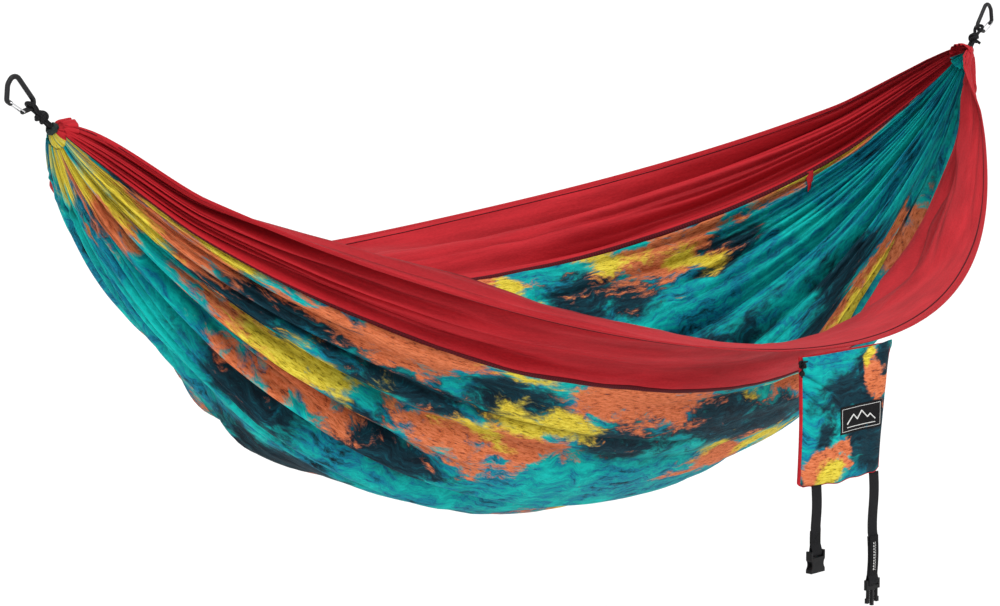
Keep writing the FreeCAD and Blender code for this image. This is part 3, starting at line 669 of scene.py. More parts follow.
NAVY_BLOOMS = (
    (-1.26, 0.30, 0.06, 0.04), (-1.12, 0.45, 0.10, 0.05), (-1.06, 0.40, 0.10, 0.05),
    (-0.89, 0.37, 0.07, 0.06), (-0.78, 0.46, 0.10, 0.04), (-0.86, 0.56, 0.08, 0.03),
    (-0.98, 0.78, 0.09, 0.05), (-0.72, 0.66, 0.12, 0.05), (-0.55, 0.40, 0.09, 0.05),
    (-0.25, 0.45, 0.12, 0.05), (0.02, 0.40, 0.14, 0.06), (0.25, 0.46, 0.16, 0.06),
    (0.48, 1.40, 0.08, 0.05), (0.60, 1.36, 0.06, 0.04), (0.87, 1.42, 0.07, 0.05),
    (0.80, 1.36, 0.08, 0.03), (1.10, 0.72, 0.08, 0.07), (1.02, 0.98, 0.10, 0.08),
    (0.90, 0.92, 0.07, 0.05), (0.92, 0.60, 0.08, 0.06), (1.16, 0.60, 0.08, 0.08),
    (-0.30, 0.95, 0.12, 0.08), (0.25, 1.05, 0.14, 0.08), (-0.70, 0.95, 0.12, 0.08),
    (0.68, 1.12, 0.12, 0.05),
)


def blooms(x, y, places):
    """How strongly a colour's blooms cover each place: the greatest of soft round hills."""
    bend_x = x + 0.15 * (layered(x * 8, y * 11 + 20, 91, 4) - 0.5)
    bend_y = y + 0.10 * (layered(x * 8 + 30, y * 11, 95, 4) - 0.5)
    cover = np.zeros_like(x)
    for mid_x, mid_y, half_x, half_y in places:
        away = ((bend_x - mid_x) / half_x) ** 2 + ((bend_y - mid_y) / half_y) ** 2
        cover = np.maximum(cover, np.exp(-0.55 * away ** 0.8))
    return cover


def print_marks(x, y):
    return {"orange": blooms(x, y, ORANGE_BLOOMS), "yellow": blooms(x, y, YELLOW_BLOOMS),
            "navy": blooms(x, y, NAVY_BLOOMS)}


def make_panel(name, low_edge, high_edge, rows, node, material):
    """One cloth panel between two lines of the hung cloth, from gather to gather."""
    s = stations()
    share = np.linspace(0, 1, rows)[None, :]
    s, share = np.broadcast_arrays(s, share)
    v = low_edge(s) + (high_edge(s) - low_edge(s)) * share
    x = s * FLAT_LENGTH / 2
    y = flat_across(s, v)
    # the painted crease shade rides with the print marks as a point attribute
    marks = dict(print_marks(x, y), crease=folds(s, v)[1])
    piece = surface(name, cloth(s, v), flat=np.stack([x, y], -1), marks=marks)
    thicken(piece, CLOTH_THICKNESS)
    assign(piece, material)
    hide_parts(node)
    return piece


HEM_ROW = 0.016


def kept_at(place):
    """A line of the cloth that keeps its place between the rims."""
    return lambda s: np.full_like(s, place)


rim_near, rim_far = kept_at(-1.0), kept_at(1.0)
row_near, row_far = kept_at(HEM_ROW - 1.0), kept_at(1.0 - HEM_ROW)


centre = make_panel("centre_cloth", near_seam, far_seam, 277, "centre_panel", PAINTED)
near_side = make_panel("near_side_cloth", rim_near, near_seam, 91, "near_side_panel", RED)
far_side = make_panel("far_side_cloth", far_seam, rim_far, 81, "far_side_panel", RED)


def strip_along(name, line_of, width, bulge, material):
    """A flat sewn edge that follows a line of the cloth: a slim oval carried along it."""
    s = stations()[:, 0]
    line = cloth(s, line_of(s))
    v = line_of(s)
    inward = np.sign(-v)
    beside = cloth(s, v + inward * 0.02)
    way = unit(np.gradient(line, axis=0))
    out = unit(beside - line)
    out = unit(out - way * (out * way).sum(-1, keepdims=True))
    up = np.cross(way, out)
    angle = np.linspace(0, 2 * math.pi, 12, endpoint=False)
    slim = np.clip(1.15 - np.abs(s) ** 10, 0.35, 1)[:, None, None]
    centre_line = line + out * width * 0.3 * slim[:, 0]
    ring = (out[:, None] * np.cos(angle)[None, :, None] * width / 2
            + up[:, None] * np.sin(angle)[None, :, None] * bulge / 2)
    points = centre_line[:, None] + ring * slim
    along = s * FLAT_LENGTH / 2
    flat = np.stack(np.broadcast_arrays(along[:, None], angle[None, :] / (2 * math.pi)), -1)
    piece = surface(name, points, wrap_columns=True, capped=True, flat=flat)
    assign(piece, material)
    return piece


near_hem = strip_along("near_rim_hem", rim_near, 0.011, 0.0030, RED)
far_hem = strip_along("far_rim_hem", rim_far, 0.011, 0.0030, RED)
near_row = strip_along("near_rim_stitch_row", row_near, 0.0030, 0.0034, SEAM_RED)
far_row = strip_along("far_rim_stitch_row", row_far, 0.0024, 0.0034, SEAM_RED)
near_join = strip_along("near_felled_seam", near_seam, 0.009, 0.0032, SEAM_RED)
far_join = strip_along("far_felled_seam", far_seam, 0.009, 0.0032, SEAM_RED)



TAB_PLACE = 0.79
TAB_HALF_WIDTH = 0.006
TAB_DROP = 0.036


def make_tab():
    """A short crimson ribbon sewn into the far seam, hanging free: a folded strip."""
    s, half, drop = TAB_PLACE, TAB_HALF_WIDTH, TAB_DROP
    top = cloth(np.array([s]), far_seam(np.array([s])))[0]
    next_on = cloth(np.array([s + 0.01]), far_seam(np.array([s + 0.01])))[0]
    way = unit(next_on - top)
    inward = np.array([0.0, -1.0, 0.0])
    p, q = np.meshgrid(np.linspace(-1, 1, 9), np.linspace(0, 1, 30), indexing="ij")
    points = (top + way * (half * p)[..., None]
              + inward * (0.004 + 0.004 * np.sin(q * 3 + p))[..., None]
              + np.array([0.0, 0.0, -1.0]) * (drop * q)[..., None])
    tab = surface("far_seam_tab", points, flat=np.stack([p * half, q * drop], -1))
    thicken(tab, 0.0014)
    assign(tab, RED)
    return tab


tab = make_tab()

# ---- gathered ends, ropes and knots ----------------------------------------------------------

ROPE_RADIUS = 0.003
ROPE_SIDES = 12
STRAND_SPACING = 0.0064
KNOT_REACH = 0.024
ROD_RADIUS = 0.00375
# The cloth stops this far short of the swing axis, so that the rope can lean in its mouth.
MOUTH_SHORT = 0.0045


def make_gather(end):
    """The bunched end channel: pleated cones of print and crimson that close on the rope.

    The radius falls from the bunch to the mouth along a line that turns up to the rope; each
    pleat is a valley round it. The angle runs from straight down to straight up.
    """
    way, side = ROPE_WAY[end], SIDE[end]
    start = SLEEVE_BASE[end] - np.array([side * 0.020, 0, 0.004])
    route = np.array([start, SLEEVE_BASE[end] - np.array([side * 0.004, 0, 0]),
                      SLEEVE_BASE[end] + way * 0.002, PIVOT[end] - way * MOUTH_SHORT])
    line = smooth_line(route, 14)
    share = np.linspace(0, 1, len(line))[:, None]
    along = unit(np.gradient(line, axis=0))
    beside = np.broadcast_to(np.array([0.0, 1.0, 0.0]), line.shape)
    below = -np.cross(along, beside) * side
    pieces = []
    for label, material, slot, first, last in (
            ("print", PAINTED, "printed_nylon", -62, 84),
            ("crimson", RED, "crimson_nylon", 80, 302)):
        turn = np.radians(np.linspace(first, last, 150))[None, :]
        pleat = valley(turn * 15 / (2 * math.pi) + 0.5 * np.sin(turn * 3 + 1) * share, 0.7)
        strength = 0.55 + 0.45 * np.sin(turn * 4 + 2)
        body = 0.0070 + 0.0185 * (1 - share) ** 0.9
        radius = (body * (1 - 0.30 * pleat * strength))[..., None]
        points = (line[:, None] + beside[:, None] * np.sin(turn)[..., None] * radius
                  + below[:, None] * np.cos(turn)[..., None] * radius)
        # painted shade: the pleat valleys are darkened, and more so towards the mouth
        crease = np.clip(pleat ** 2 * strength + 0.35 * share ** 3, 0, 1)
        none = 0 * crease
        marks = {"crease": crease, "orange": none, "navy": none + (side > 0) * 0.2,
                 "yellow": none + (side < 0) * 0.75}
        flat = np.stack(np.broadcast_arrays(side * (1.37 + share * 0.03), 0.9 + turn * 0.2), -1)
        piece = surface("%s_channel_%s" % (end, label), points, flat=flat, marks=marks)
        thicken(piece, CLOTH_THICKNESS)
        assign(piece, material)
        pieces.append(piece)
    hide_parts(end + "_end_sleeve")
    return pieces


def make_collar(end):
    """The dark whipped collar that closes the channel on the rope: a flared, pleated ring,
    near-black as binding with a dark green of painted shade on the print.
    """
    way = ROPE_WAY[end]
    middle = PIVOT[end] - way * 0.0005
    across = np.array([0.0, 1.0, 0.0])
    beside = np.cross(way, across)
    around = np.linspace(0, 2 * math.pi, 90, endpoint=False)[:, None]
    ring = np.linspace(0, 2 * math.pi, 20, endpoint=False)[None, :]
    pleat = 1 + 0.10 * np.sin(around * 11) + 0.05 * np.sin(around * 5 + 1)
    high = np.sin(ring) * (0.0046 + 0.0007 * np.sin(around * 7))
    out = 0.0072 + (np.cos(ring) * 0.0026 - 0.20 * high) * pleat
    radius = out[..., None]
    points = (middle + across * np.cos(around)[..., None] * radius
              + beside * np.sin(around)[..., None] * radius + way * high[..., None])
    piece = surface(end + "_collar", points, wrap_rows=True, wrap_columns=True,
                    flat=np.stack(np.broadcast_arrays(around * 0.008, ring * 0.003), -1))
    assign(piece, COLLAR)
    return piece


def rope_route(end):
    """The tether's route: up from the sleeve, over the carabiner's bar and back."""
    way, pivot, seat = ROPE_WAY[end], PIVOT[end], SEAT[end]
    side = np.array([0, STRAND_SPACING / 2, 0])
    eye = ROD_RADIUS + ROPE_RADIUS + 0.0009
    spread = np.array([0, eye, 0])
    lead, top = seat - way * 0.009, seat + way * (eye + 0.0004)
    return np.array([pivot + side, pivot + side + way * 0.019, lead + side,
                     seat + spread - way * 0.002, top + spread, top - spread,
                     seat - spread - way * 0.002, lead - side, pivot - side + way * 0.019,
                     pivot - side])


def knot_line(centre, way, size, length, turn=0.0):
    """A closed overhand knot: the trefoil (2 + cos 3t)(cos 2t, sin 2t), sin 3t, scaled."""
    t = np.linspace(0, 2 * math.pi, 150, endpoint=False) + turn
    across = unit(np.cross([0.0, 1.0, 0.0], way))
    beside = np.cross(way, across)
    radius = (2 + np.cos(3 * t)) * size / 3
    return (centre + across * (radius * np.cos(2 * t))[:, None]
            + beside * (radius * np.sin(2 * t))[:, None]
            + way * (np.sin(3 * t) * length / 2)[:, None])


def closed_tube(name, line, radius, body, sides):
    """A tube round a closed line: rings square to the line, measured from one fixed way."""
    way = unit(np.roll(line, -1, axis=0) - np.roll(line, 1, axis=0))
    middle = unit(line - line.mean(0))
    side = unit(np.cross(way, middle))
    up = np.cross(way, side)
    angle = np.linspace(0, 2 * math.pi, sides, endpoint=False)
    return ringed(name, line, side, up, angle, radius, body, closed=True)


def make_tether(end):
    """The braided rope with its overhand knot under the carabiner's bar."""
    body = end + "_tether"
    line = smooth_line(rope_route(end), 14)
    rope = tube(end + "_rope", line, ROPE_RADIUS, body, 16)
    assign(rope, BRAID)
    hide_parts(end + "_tether_rope")
    way = ROPE_WAY[end]
    centre = PIVOT[end] + way * KNOT_REACH
    knot = closed_tube(end + "_overhand_knot", knot_line(centre, way, 0.0078, 0.0085, 0.4),
                       ROPE_RADIUS, body, ROPE_SIDES)
    assign(knot, BRAID)
    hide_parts(end + "_tether_knot")
    twin = closed_tube(end + "_knot_second_strand",
                       knot_line(centre + way * 0.0012, way, 0.0062, 0.0125, 0.9),
                       ROPE_RADIUS * 0.95, body, ROPE_SIDES)
    assign(twin, BRAID)
    tail = smooth_line(np.array([centre, centre + np.array([0.004, -0.006, -0.006]),
                                 centre + np.array([0.006, -0.011, -0.009])]), 8)
    stub = tube(end + "_knot_tail", tail, ROPE_RADIUS * 0.9, body, ROPE_SIDES)
    assign(stub, BRAID)


# the collar's colour: near-black binding, mixed with dark green that is painted shade on the
# bunched print
COLLAR = make_plain("collar_cloth", (0.004, 0.006, 0.007), (0.030, 0.050, 0.045), 0.6, 420,
                    0.0004)
for end in SIDE:
    make_gather(end)
    make_collar(end)
    make_tether(end)
    assign(nodes[end + "_carabiner"], ALLOY)
    assign(nodes[end + "_gate"], STEEL)

# ---- stitching -------------------------------------------------------------------------------


def make_stitches(name, line, up, spacing, length, radius, material, body):
    """A row of short thread dashes along a line: slim capsules, each a few faces."""
    along = walked(line)
    count = max(int(along[-1] / spacing), 1)
    places = (np.arange(count) + 0.5) * along[-1] / count
    middle = np.stack([np.interp(places, along, line[:, k]) for k in range(3)], -1)
    ahead = np.stack([np.interp(places + spacing * 0.4, along, line[:, k])
                      for k in range(3)], -1)
    way = unit(ahead - middle)
    way[-1] = way[-2] if count > 1 else way[-1]
    up = np.broadcast_to(up, middle.shape)
    side = unit(np.cross(way, up))
    up = np.cross(side, way)
    rows, sides = 5, 6
    angle = np.linspace(0, 2 * math.pi, sides, endpoint=False)
    share = np.linspace(-1, 1, rows)
    girth = np.sqrt(np.clip(1 - share ** 2, 0.02, 1)) * radius
    ring = (side[:, None, None] * np.cos(angle)[None, None, :, None]
            + up[:, None, None] * np.sin(angle)[None, None, :, None])
    points = (middle[:, None, None] + way[:, None, None] * (share * length / 2)[None, :, None, None]
              + ring * girth[None, :, None, None])
    one = grid_faces(rows, sides, wrap_columns=True)
    faces = (one[None] + (np.arange(count) * rows * sides)[:, None, None]).reshape(-1, 4).tolist()
    for k in range(count):
        start = k * rows * sides
        faces.append([start + j for j in range(sides)])
        faces.append([start + (rows - 1) * sides + j for j in reversed(range(sides))])
    mesh = bpy.data.meshes.new(name)
    mesh.from_pydata(points.reshape(-1, 3).tolist(), [], faces)
    mesh.polygons.foreach_set("use_smooth", np.ones(len(faces), bool))
    mesh.update()
    made = bpy.data.objects.new(name, mesh)
    bpy.context.scene.collection.objects.link(made)
    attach(made, body)
    assign(made, material)
    return made


BLACK_THREAD = make_plain("black_thread", BLACK, (0.02, 0.02, 0.02), 0.6, 2500, 0.00002)
PALE_THREAD = make_plain("pale_thread", (0.62, 0.62, 0.60), (0.85, 0.85, 0.83), 0.55, 2500, 0.00002)
LABEL = make_woven("satin_label", BLACK, (0.009, 0.009, 0.010), 1500, 1500, 0.0001)


# ---- stuff sack ------------------------------------------------------------------------------

front_low = np.array(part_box("sack_front")[0])
back_low, back_high = (np.array(c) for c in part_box("sack_back"))
SACK_WIDTH = back_high[0] - back_low[0]
SACK_HEIGHT = back_high[2] - back_low[2]
SACK_MIDDLE = (back_low[0] + back_high[0]) / 2
SACK_BACK = back_high[1]
SACK_DEPTH = back_low[1] - front_low[1]
SIDE_TURN = 0.0055
HEM_HEIGHT = 0.015
# How far the mouth's right corner hangs forward of its left, and how much narrower the foot is.
SACK_TURN = 0.012
SACK_TAPER = 0.017
# Slanting creases under the upper left corner: slope, start down the edge and depth.
SACK_CREASES = ((0.55, 0.13, 0.0030), (0.75, 0.26, 0.0022), (0.35, 0.40, 0.0012))


def sack_outline(p, q):
    """Across and down the sack: rounded lower corners, a lower edge that is not quite even."""
    x = (p - 0.5) * SACK_WIDTH
    round_left, round_right = 0.012, 0.018
    room = np.where(p < 0.5, p * SACK_WIDTH / round_left, (1 - p) * SACK_WIDTH / round_right)
    rise = np.where(p < 0.5, round_left, round_right) * 0.55 * (1 - np.clip(room, 0, 1)) ** 2
    wave = 0.0018 * np.sin(p * 9 + 0.6) + 0.0012 * np.sin(p * 23)
    z = -q * (SACK_HEIGHT - rise - 0.002 - wave * q)
    pull = -0.004 * np.sin(np.pi * q) * (2 * p - 1) - SACK_TAPER * p * q
    return SACK_MIDDLE + x + pull, back_high[2] + z


def sack_front_point(p, q):
    """The printed front: a slack pillow over the back, with a hem at its mouth and creases."""
    x, z = sack_outline(p, q)
    edge = np.clip(1 - np.abs(2 * p - 1) ** 6, 0, 1) ** 0.5
    down = q * SACK_HEIGHT
    edge = np.maximum(edge, 0.5 * np.exp(-(down / 0.022) ** 4))
    foot = np.clip((1 - q) / 0.07, 0, 1) ** 0.5
    swell = edge * foot * (0.55 + 0.45 * np.sin(np.pi * np.clip(q * 0.9 + 0.1, 0, 1)))
    depth = SIDE_TURN + (SACK_DEPTH - SIDE_TURN - 0.001) * swell
    # the drawcord channel: a soft ridge above its stitch line
    depth = depth + 0.0016 * np.exp(-((down - HEM_HEIGHT * 0.5) / 0.005) ** 2) * edge
    depth = depth - 0.0014 * np.exp(-((down - HEM_HEIGHT) / 0.0012) ** 2) * edge
    # creases that fall away from the upper left corner, and a folded upper right corner
    for lean, start, strength in SACK_CREASES:
        away = (q - start) - lean * p
        depth = depth - strength * np.exp(-(away / 0.012) ** 2) * np.exp(-(p / 0.28) ** 2)
    corner = np.exp(-((1 - p) / 0.16) ** 2) * np.exp(-(q / 0.20) ** 2)
    depth = depth - 0.0035 * corner
    x = x + 0.005 * np.exp(-((1 - p) / 0.20) ** 2) * np.exp(-(q / 0.16) ** 2)
    z = z + 0.004 * corner
    slack = layered(p * 5 + 3, q * 5 + 8, 131, 3) - 0.5
    depth = depth + 0.0045 * slack * edge * foot
    return np.stack([x, back_low[1] - depth - SACK_TURN * p * (1 - 0.6 * q), z], -1)


def sack_print_marks(p, q):
    """The same print where the sack's front was cut from it, with painted shade along its creases.
    """
    places = {
        "orange": ((0.14, 0.86, 0.14, 0.12), (0.34, 0.80, 0.16, 0.10), (0.78, 0.20, 0.12, 0.14),
                   (0.90, 0.34, 0.12, 0.12), (0.55, 0.74, 0.10, 0.06), (0.55, 0.86, 0.10, 0.08)),
        "yellow": ((0.42, 0.92, 0.14, 0.09), (0.76, 0.07, 0.08, 0.07), (0.36, 0.99, 0.16, 0.04)),
        "navy": ((0.50, 0.34, 0.24, 0.12), (0.64, 0.20, 0.10, 0.14), (0.96, 0.16, 0.07, 0.18),
                 (0.78, 0.46, 0.20, 0.12), (0.88, 0.80, 0.18, 0.20), (0.72, 0.68, 0.10, 0.10),
                 (0.22, 0.62, 0.10, 0.08), (0.05, 0.98, 0.08, 0.06)),
    }
    bend_p = p + 0.30 * (layered(p * 5, q * 5 + 4, 151, 4) - 0.5)
    bend_q = q + 0.22 * (layered(p * 5 + 9, q * 5, 155, 4) - 0.5)
    marks = {}
    for label, hills in places.items():
        cover = np.zeros_like(p)
        wider = 1.3 if label == "navy" else 1.0
        for mid_p, mid_q, half_p, half_q in hills:
            away = (((bend_p - mid_p) / half_p) ** 2
                    + ((bend_q - mid_q) / half_q) ** 2) / wider ** 2
            cover = np.maximum(cover, np.exp(-0.6 * away))
        marks[label] = cover
    # painted shade: the print darkened along the slanting creases
    lean = np.zeros_like(p)
    for tilt, start, strength in SACK_CREASES:
        away = (q - start) - tilt * p
        lean = np.maximum(lean, strength / 0.003 * np.exp(-(away / 0.009) ** 2)
                          * np.exp(-(p / 0.28) ** 2))
    marks["crease"] = 0.7 * lean
    return marks


def make_sack():
    """The printed front and the crimson back, whose sides turn forward to meet it."""
    p, q = np.meshgrid(np.linspace(0, 1, 110), np.linspace(0, 1, 110), indexing="ij")
    flat = np.stack([p * SACK_WIDTH + 3.0, q * SACK_HEIGHT + 3.0], -1)
    front = surface("sack_front_cloth", sack_front_point(p, q), flat=flat,
                    marks=sack_print_marks(p, q), body="sack")
    thicken(front, 0.0008)
    assign(front, PAINTED)
    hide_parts("sack_front")
    # the back: across its width and then forward at both sides and the foot
    turn = np.linspace(-1, 1, 90)[:, None]
    fall = np.linspace(0, 1, 60)[None, :]
    turn, fall = np.broadcast_arrays(turn, fall)
    lip = np.clip((np.abs(turn) - 0.92) / 0.08, 0, 1)
    foot = np.clip((fall - 0.96) / 0.04, 0, 1)
    x, z = sack_outline(np.clip(turn / 0.92 * 0.5 + 0.5, 0, 1), np.clip(fall / 0.96, 0, 1))
    forward = (SIDE_TURN + 0.0012) * np.maximum(np.sin(lip * np.pi / 2), np.sin(foot * np.pi / 2))
    x = x + np.sign(turn) * 0.0012 * np.sin(lip * np.pi)
    turned = SACK_TURN * np.clip(turn / 1.84 + 0.5, 0, 1) * (1 - 0.6 * fall)
    points = np.stack([x, SACK_BACK - 0.0010 - forward - turned, z - 0.001 * foot], -1)
    back = surface("sack_back_cloth", points, flat=np.stack([turn * 0.11 + 5, fall * 0.2], -1),
                   body="sack")
    thicken(back, 0.0010)
    assign(back, RED)
    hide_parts("sack_back")
    # stitching: the channel's row
    across = np.linspace(0.02, 0.98, 80)
    row = sack_front_point(across, np.full(80, HEM_HEIGHT / SACK_HEIGHT)) - [0, 0.0004, 0]
    make_stitches("sack_channel_stitches", row, np.array([0, -1.0, 0]), 0.0034, 0.0026, 0.00032,
                  BLACK_THREAD, "sack")


make_sack()

label_low, label_high = (np.array(c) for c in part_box("sack_label"))


def label_point(p, q, proud):
    """The label lies on the sack's front, curling up a little at its right end."""
    x = label_low[0] + (label_high[0] - label_low[0]) * p
    z = label_high[2] + (label_low[2] - label_high[2]) * q + 0.003 * (p - 0.5)
    share_p = (x - SACK_MIDDLE) / SACK_WIDTH + 0.5
    share_q = (back_high[2] - z) / SACK_HEIGHT
    y = sack_front_point(share_p, share_q)[..., 1] - proud - 0.0022 * p ** 3
    return np.stack([x, y, z], -1)


def make_label():
    """A black woven label with a light border, three plain peaks and a rule under them."""
    p, q = np.meshgrid(np.linspace(0, 1, 60), np.linspace(0, 1, 40), indexing="ij")
    flat = np.stack([p * 0.098, q * 0.043], -1)
    label = surface("sack_woven_label", label_point(p, q, 0.0009), flat=flat, body="sack")
    thicken(label, 0.0006)
    assign(label, LABEL)
    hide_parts("sack_label")
    corners = np.array([(0.04, 0.09), (0.96, 0.09), (0.96, 0.91), (0.04, 0.91), (0.04, 0.09)])
    peaks = np.array([(0.16, 0.66), (0.32, 0.34), (0.42, 0.54), (0.52, 0.26), (0.66, 0.54),
                      (0.72, 0.44), (0.84, 0.66)])
    rule = np.array([(0.16, 0.78), (0.84, 0.78)])
    for name, path, wide in (("label_border", corners, 0.00035), ("label_peaks", peaks, 0.0010),
                             ("label_rule", rule, 0.0006)):
        share = np.linspace(0, len(path) - 1, 40 * (len(path) - 1) + 1)
        at = [np.interp(share, np.arange(len(path)), path[:, k]) for k in (0, 1)]
        line = label_point(at[0], at[1], 0.0014)
        made = tube(name, line, wide, "sack", 8)
        assign(made, PALE_THREAD)


make_label()


# ---- drawcord, straps and buckle -------------------------------------------------------------

CORD_RADIUS = 0.0015
cord_low, cord_high = (np.array(c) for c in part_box("sack_drawcord"))
cord_exit = np.array([cord_low[0] + 0.0025, (cord_low[1] + cord_high[1]) / 2,
                      cord_high[2] - CORD_RADIUS])


def make_drawcord():
    """The cord through the hem, its double knot at the corner and the ball on its tail."""
    start = np.array([cord_high[0], cord_exit[1], cord_exit[2]])
    back = np.array([0, 0.005, 0])
    route = np.array([start + back, start + back - [0.07, 0, 0], start + back - [0.14, 0, 0],
                      cord_exit + back + [0.03, 0, 0], cord_exit + [0.004, 0.001, 0],
                      cord_exit - [0.0005, 0, 0.012], cord_exit - [0.001, 0, 0.0225]])
    line = smooth_line(route, 12)
    cord = tube("hem_drawcord", line, CORD_RADIUS, "sack", 12)
    assign(cord, BRAID)
    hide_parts("sack_drawcord")
    for k, (shift, size, long, turn) in enumerate((((0.001, 0, -0.001), 0.0052, 0.0050, 0.3),
                                                  ((0.0, -0.001, -0.005), 0.0046, 0.0060, 1.0))):
        way = unit(np.array([0.35 - 0.5 * k, 0.3, 1.0]))
        knot = closed_tube("drawcord_knot_turn_%d" % (k + 1),
                           knot_line(cord_exit + shift, way, size, long, turn),
                           CORD_RADIUS * 1.05, "sack", 10)
        assign(knot, BRAID)
    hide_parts("drawcord_knot")
    for k, (way_x, way_y) in enumerate(((-0.0075, -0.001), (-0.004, -0.0065))):
        end = cord_exit + [way_x, way_y, 0.001 - 0.004 * k]
        loop = smooth_line(np.array([cord_exit, cord_exit + [way_x * 0.9, way_y, 0.004],
                                     end, end + [0.001, 0, -0.003]]), 8)
        made = tube("drawcord_loop_end_%d" % (k + 1), loop, CORD_RADIUS, "sack", 10)
        assign(made, BRAID)
    assign(nodes["drawcord_bead"], PLASTIC)


make_drawcord()

WEB_WIDTH = 0.025
WEB_HALF = 0.0009
STRAP_WAVE = 0.0012
STRAP_WAVES = 60


def strap_wave(z, root):
    """How far a hanging strap stands out of its plane at each height."""
    return STRAP_WAVE * np.sin((z - root[2]) * STRAP_WAVES)


def make_strap(name, node, root, bar, fold, body):
    """Webbing from the sack's foot, round the buckle's bar and back up a sewn fold.

    A flat oval, a superellipse 25 mm wide, carried down a line in the YZ plane.
    """
    loop = 0.0035
    down = np.linspace(root[2] + 0.004, bar[2] + 0.011, 40)
    gap = WEB_HALF * smooth((bar[2] + fold + 0.006 - down) / 0.008)
    sway = strap_wave(down, root)
    front = np.stack([root[0] + 0 * down, root[1] - gap + sway, down], -1)
    angle = np.linspace(math.radians(155), math.radians(385), 26)
    # the loop hangs slack under the bar and fills the slot
    slack = np.where(np.sin(angle) < 0, 1.9, 1.0)
    ring = np.stack([bar[0] + 0 * angle, bar[1] + loop * np.cos(angle),
                     bar[2] + loop * slack * np.sin(angle)], -1)
    rise = np.linspace(bar[2] + 0.011, bar[2] + fold, 24)
    sway_up = strap_wave(rise, root)
    rear = np.stack([root[0] + 0 * rise, root[1] + WEB_HALF * 1.05 + sway_up, rise], -1)
    line = np.vstack([front, ring, rear])
    way = unit(np.gradient(line, axis=0))
    across = np.array([1.0, 0, 0])
    out = unit(np.cross(np.broadcast_to(across, way.shape), way))
    turn = np.linspace(0, 2 * math.pi, 28, endpoint=False)
    wide = np.sign(np.cos(turn)) * np.abs(np.cos(turn)) ** 0.35 * WEB_WIDTH / 2
    thick = np.sign(np.sin(turn)) * np.abs(np.sin(turn)) ** 0.6 * WEB_HALF
    points = (line[:, None] + across * wide[None, :, None] + out[:, None] * thick[None, :, None])
    flat = np.stack(np.broadcast_arrays(wide[None, :], walked(line)[:, None]), -1)
    strap = surface(name, points, wrap_columns=True, capped=True, flat=flat, body=body)
    assign(strap, WEBBING)
    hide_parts(node)
    top, foot = bar[2] + fold - 0.004, bar[2] + 0.013
    half = WEB_WIDTH / 2 - 0.003
    face = root[1] - 2 * WEB_HALF - 0.0002
    box = np.array([(-half, top), (half, top), (half, foot), (-half, foot), (-half, top),
                    (half, foot), (half, top), (-half, foot)])
    share = np.linspace(0, len(box) - 1, 30 * (len(box) - 1) + 1)
    xs, zs = (np.interp(share, np.arange(len(box)), box[:, k]) for k in (0, 1))
    line = np.stack([root[0] + xs, face + strap_wave(zs, root), zs], -1)
    make_stitches(name + "_box_stitches", line, np.array([0, -1.0, 0]), 0.0032, 0.0024, 0.0003,
                  BLACK_THREAD, body)


socket_root, socket_bar = joint_at["socket_strap_swing"], joint_at["socket_buckle_swing"]
prong_root, prong_bar = joint_at["prong_strap_swing"], joint_at["prong_buckle_swing"]
make_strap("socket_side_strap", "socket_strap", socket_root, socket_bar, 0.034, "socket_strap")
make_strap("prong_side_strap", "prong_strap", prong_root, prong_bar, 0.072, "prong_strap")

tag_low, tag_high = (np.array(c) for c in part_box("strap_tag"))


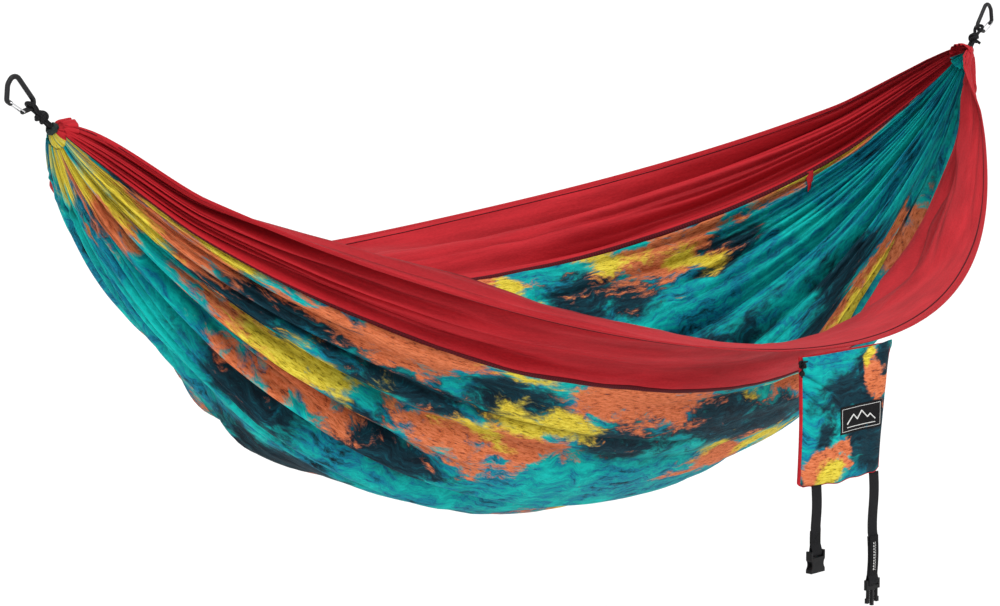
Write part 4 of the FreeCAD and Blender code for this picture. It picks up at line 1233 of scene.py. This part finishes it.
def make_tag():
    """A narrow woven tag on the strap with a plain row of light bars down its middle."""
    p, q = np.meshgrid(np.linspace(0, 1, 24), np.linspace(0, 1, 60), indexing="ij")
    x = tag_low[0] + (tag_high[0] - tag_low[0]) * p
    z = tag_high[2] + (tag_low[2] - tag_high[2]) * q
    y = tag_low[1] + 0.0002 + strap_wave(z, prong_root) - 0.0005 * (1 - q) ** 3
    tag = surface("strap_woven_tag", np.stack([x, y, z], -1),
                  flat=np.stack([p * 0.022, q * 0.066], -1), body="prong_strap")
    thicken(tag, 0.0006)
    assign(tag, LABEL)
    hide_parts("strap_tag")
    middle = (tag_low[0] + tag_high[0]) / 2
    drop = np.linspace(tag_high[2] - 0.010, tag_low[2] + 0.010, 60)
    for k, (shift, size) in enumerate(((-0.0018, 0.0010), (0.0022, 0.0007))):
        line = np.stack([middle + shift + 0 * drop,
                         tag_low[1] - 0.0005 + strap_wave(drop, prong_root), drop], -1)
        make_stitches("tag_bars_%d" % (k + 1), line, np.array([0, -1.0, 0]),
                      0.0046 if k == 0 else 0.0026, 0.0034 if k == 0 else 0.0016, size,
                      PALE_THREAD, "prong_strap")


make_tag()
for name in ("socket_buckle", "prong_buckle", "left_prong", "right_prong"):
    assign(nodes[name], PLASTIC)

# ---- floor and lamps -------------------------------------------------------------------------

FLOOR_SIZE = 160.0
KEY_WAY, KEY_STRENGTH, KEY_SPREAD = (-0.30, -0.50, 1.0), 1.30, 55
SIDE_PLACE, SIDE_SIZE, SIDE_POWER = (-2.6, -2.2, 0.6), 1.6, 16
WORLD_STRENGTH = 0.88


def make_floor():
    """A wide pale floor under the hammock."""
    low = cad_low.z - FLOOR_DROP
    half = FLOOR_SIZE / 2
    mesh = bpy.data.meshes.new("floor")
    mesh.from_pydata([(x, y, low) for x, y in ((-half, -half), (half, -half), (half, half),
                                               (-half, half))], [], [(0, 1, 2, 3)])
    floor = bpy.data.objects.new("floor", mesh)
    bpy.context.scene.collection.objects.link(floor)
    made, tree, shader = new_material("pale_floor", 0.9, 0.1)
    place = add(tree, "TexCoord", out="Object")
    tone = noise(tree, place, 0.6, 2)
    tree.links.new(ramp(tree, tone, (0.3, (0.91, 0.91, 0.91)), (0.7, (0.94, 0.94, 0.94))),
                   shader.inputs["Base Color"])
    assign(floor, made)


make_camera()
make_floor()
make_sun("key_sun", KEY_WAY, KEY_STRENGTH, KEY_SPREAD)
make_light("side_light", SIDE_PLACE, SIDE_SIZE, SIDE_POWER)

world = bpy.data.worlds.new("studio")
bpy.context.scene.world = world
world.use_nodes = True
world.node_tree.nodes["Background"].inputs["Color"].default_value = (1, 1, 1, 1)
world.node_tree.nodes["Background"].inputs["Strength"].default_value = WORLD_STRENGTH
bpy.context.scene.view_settings.view_transform = "Standard"
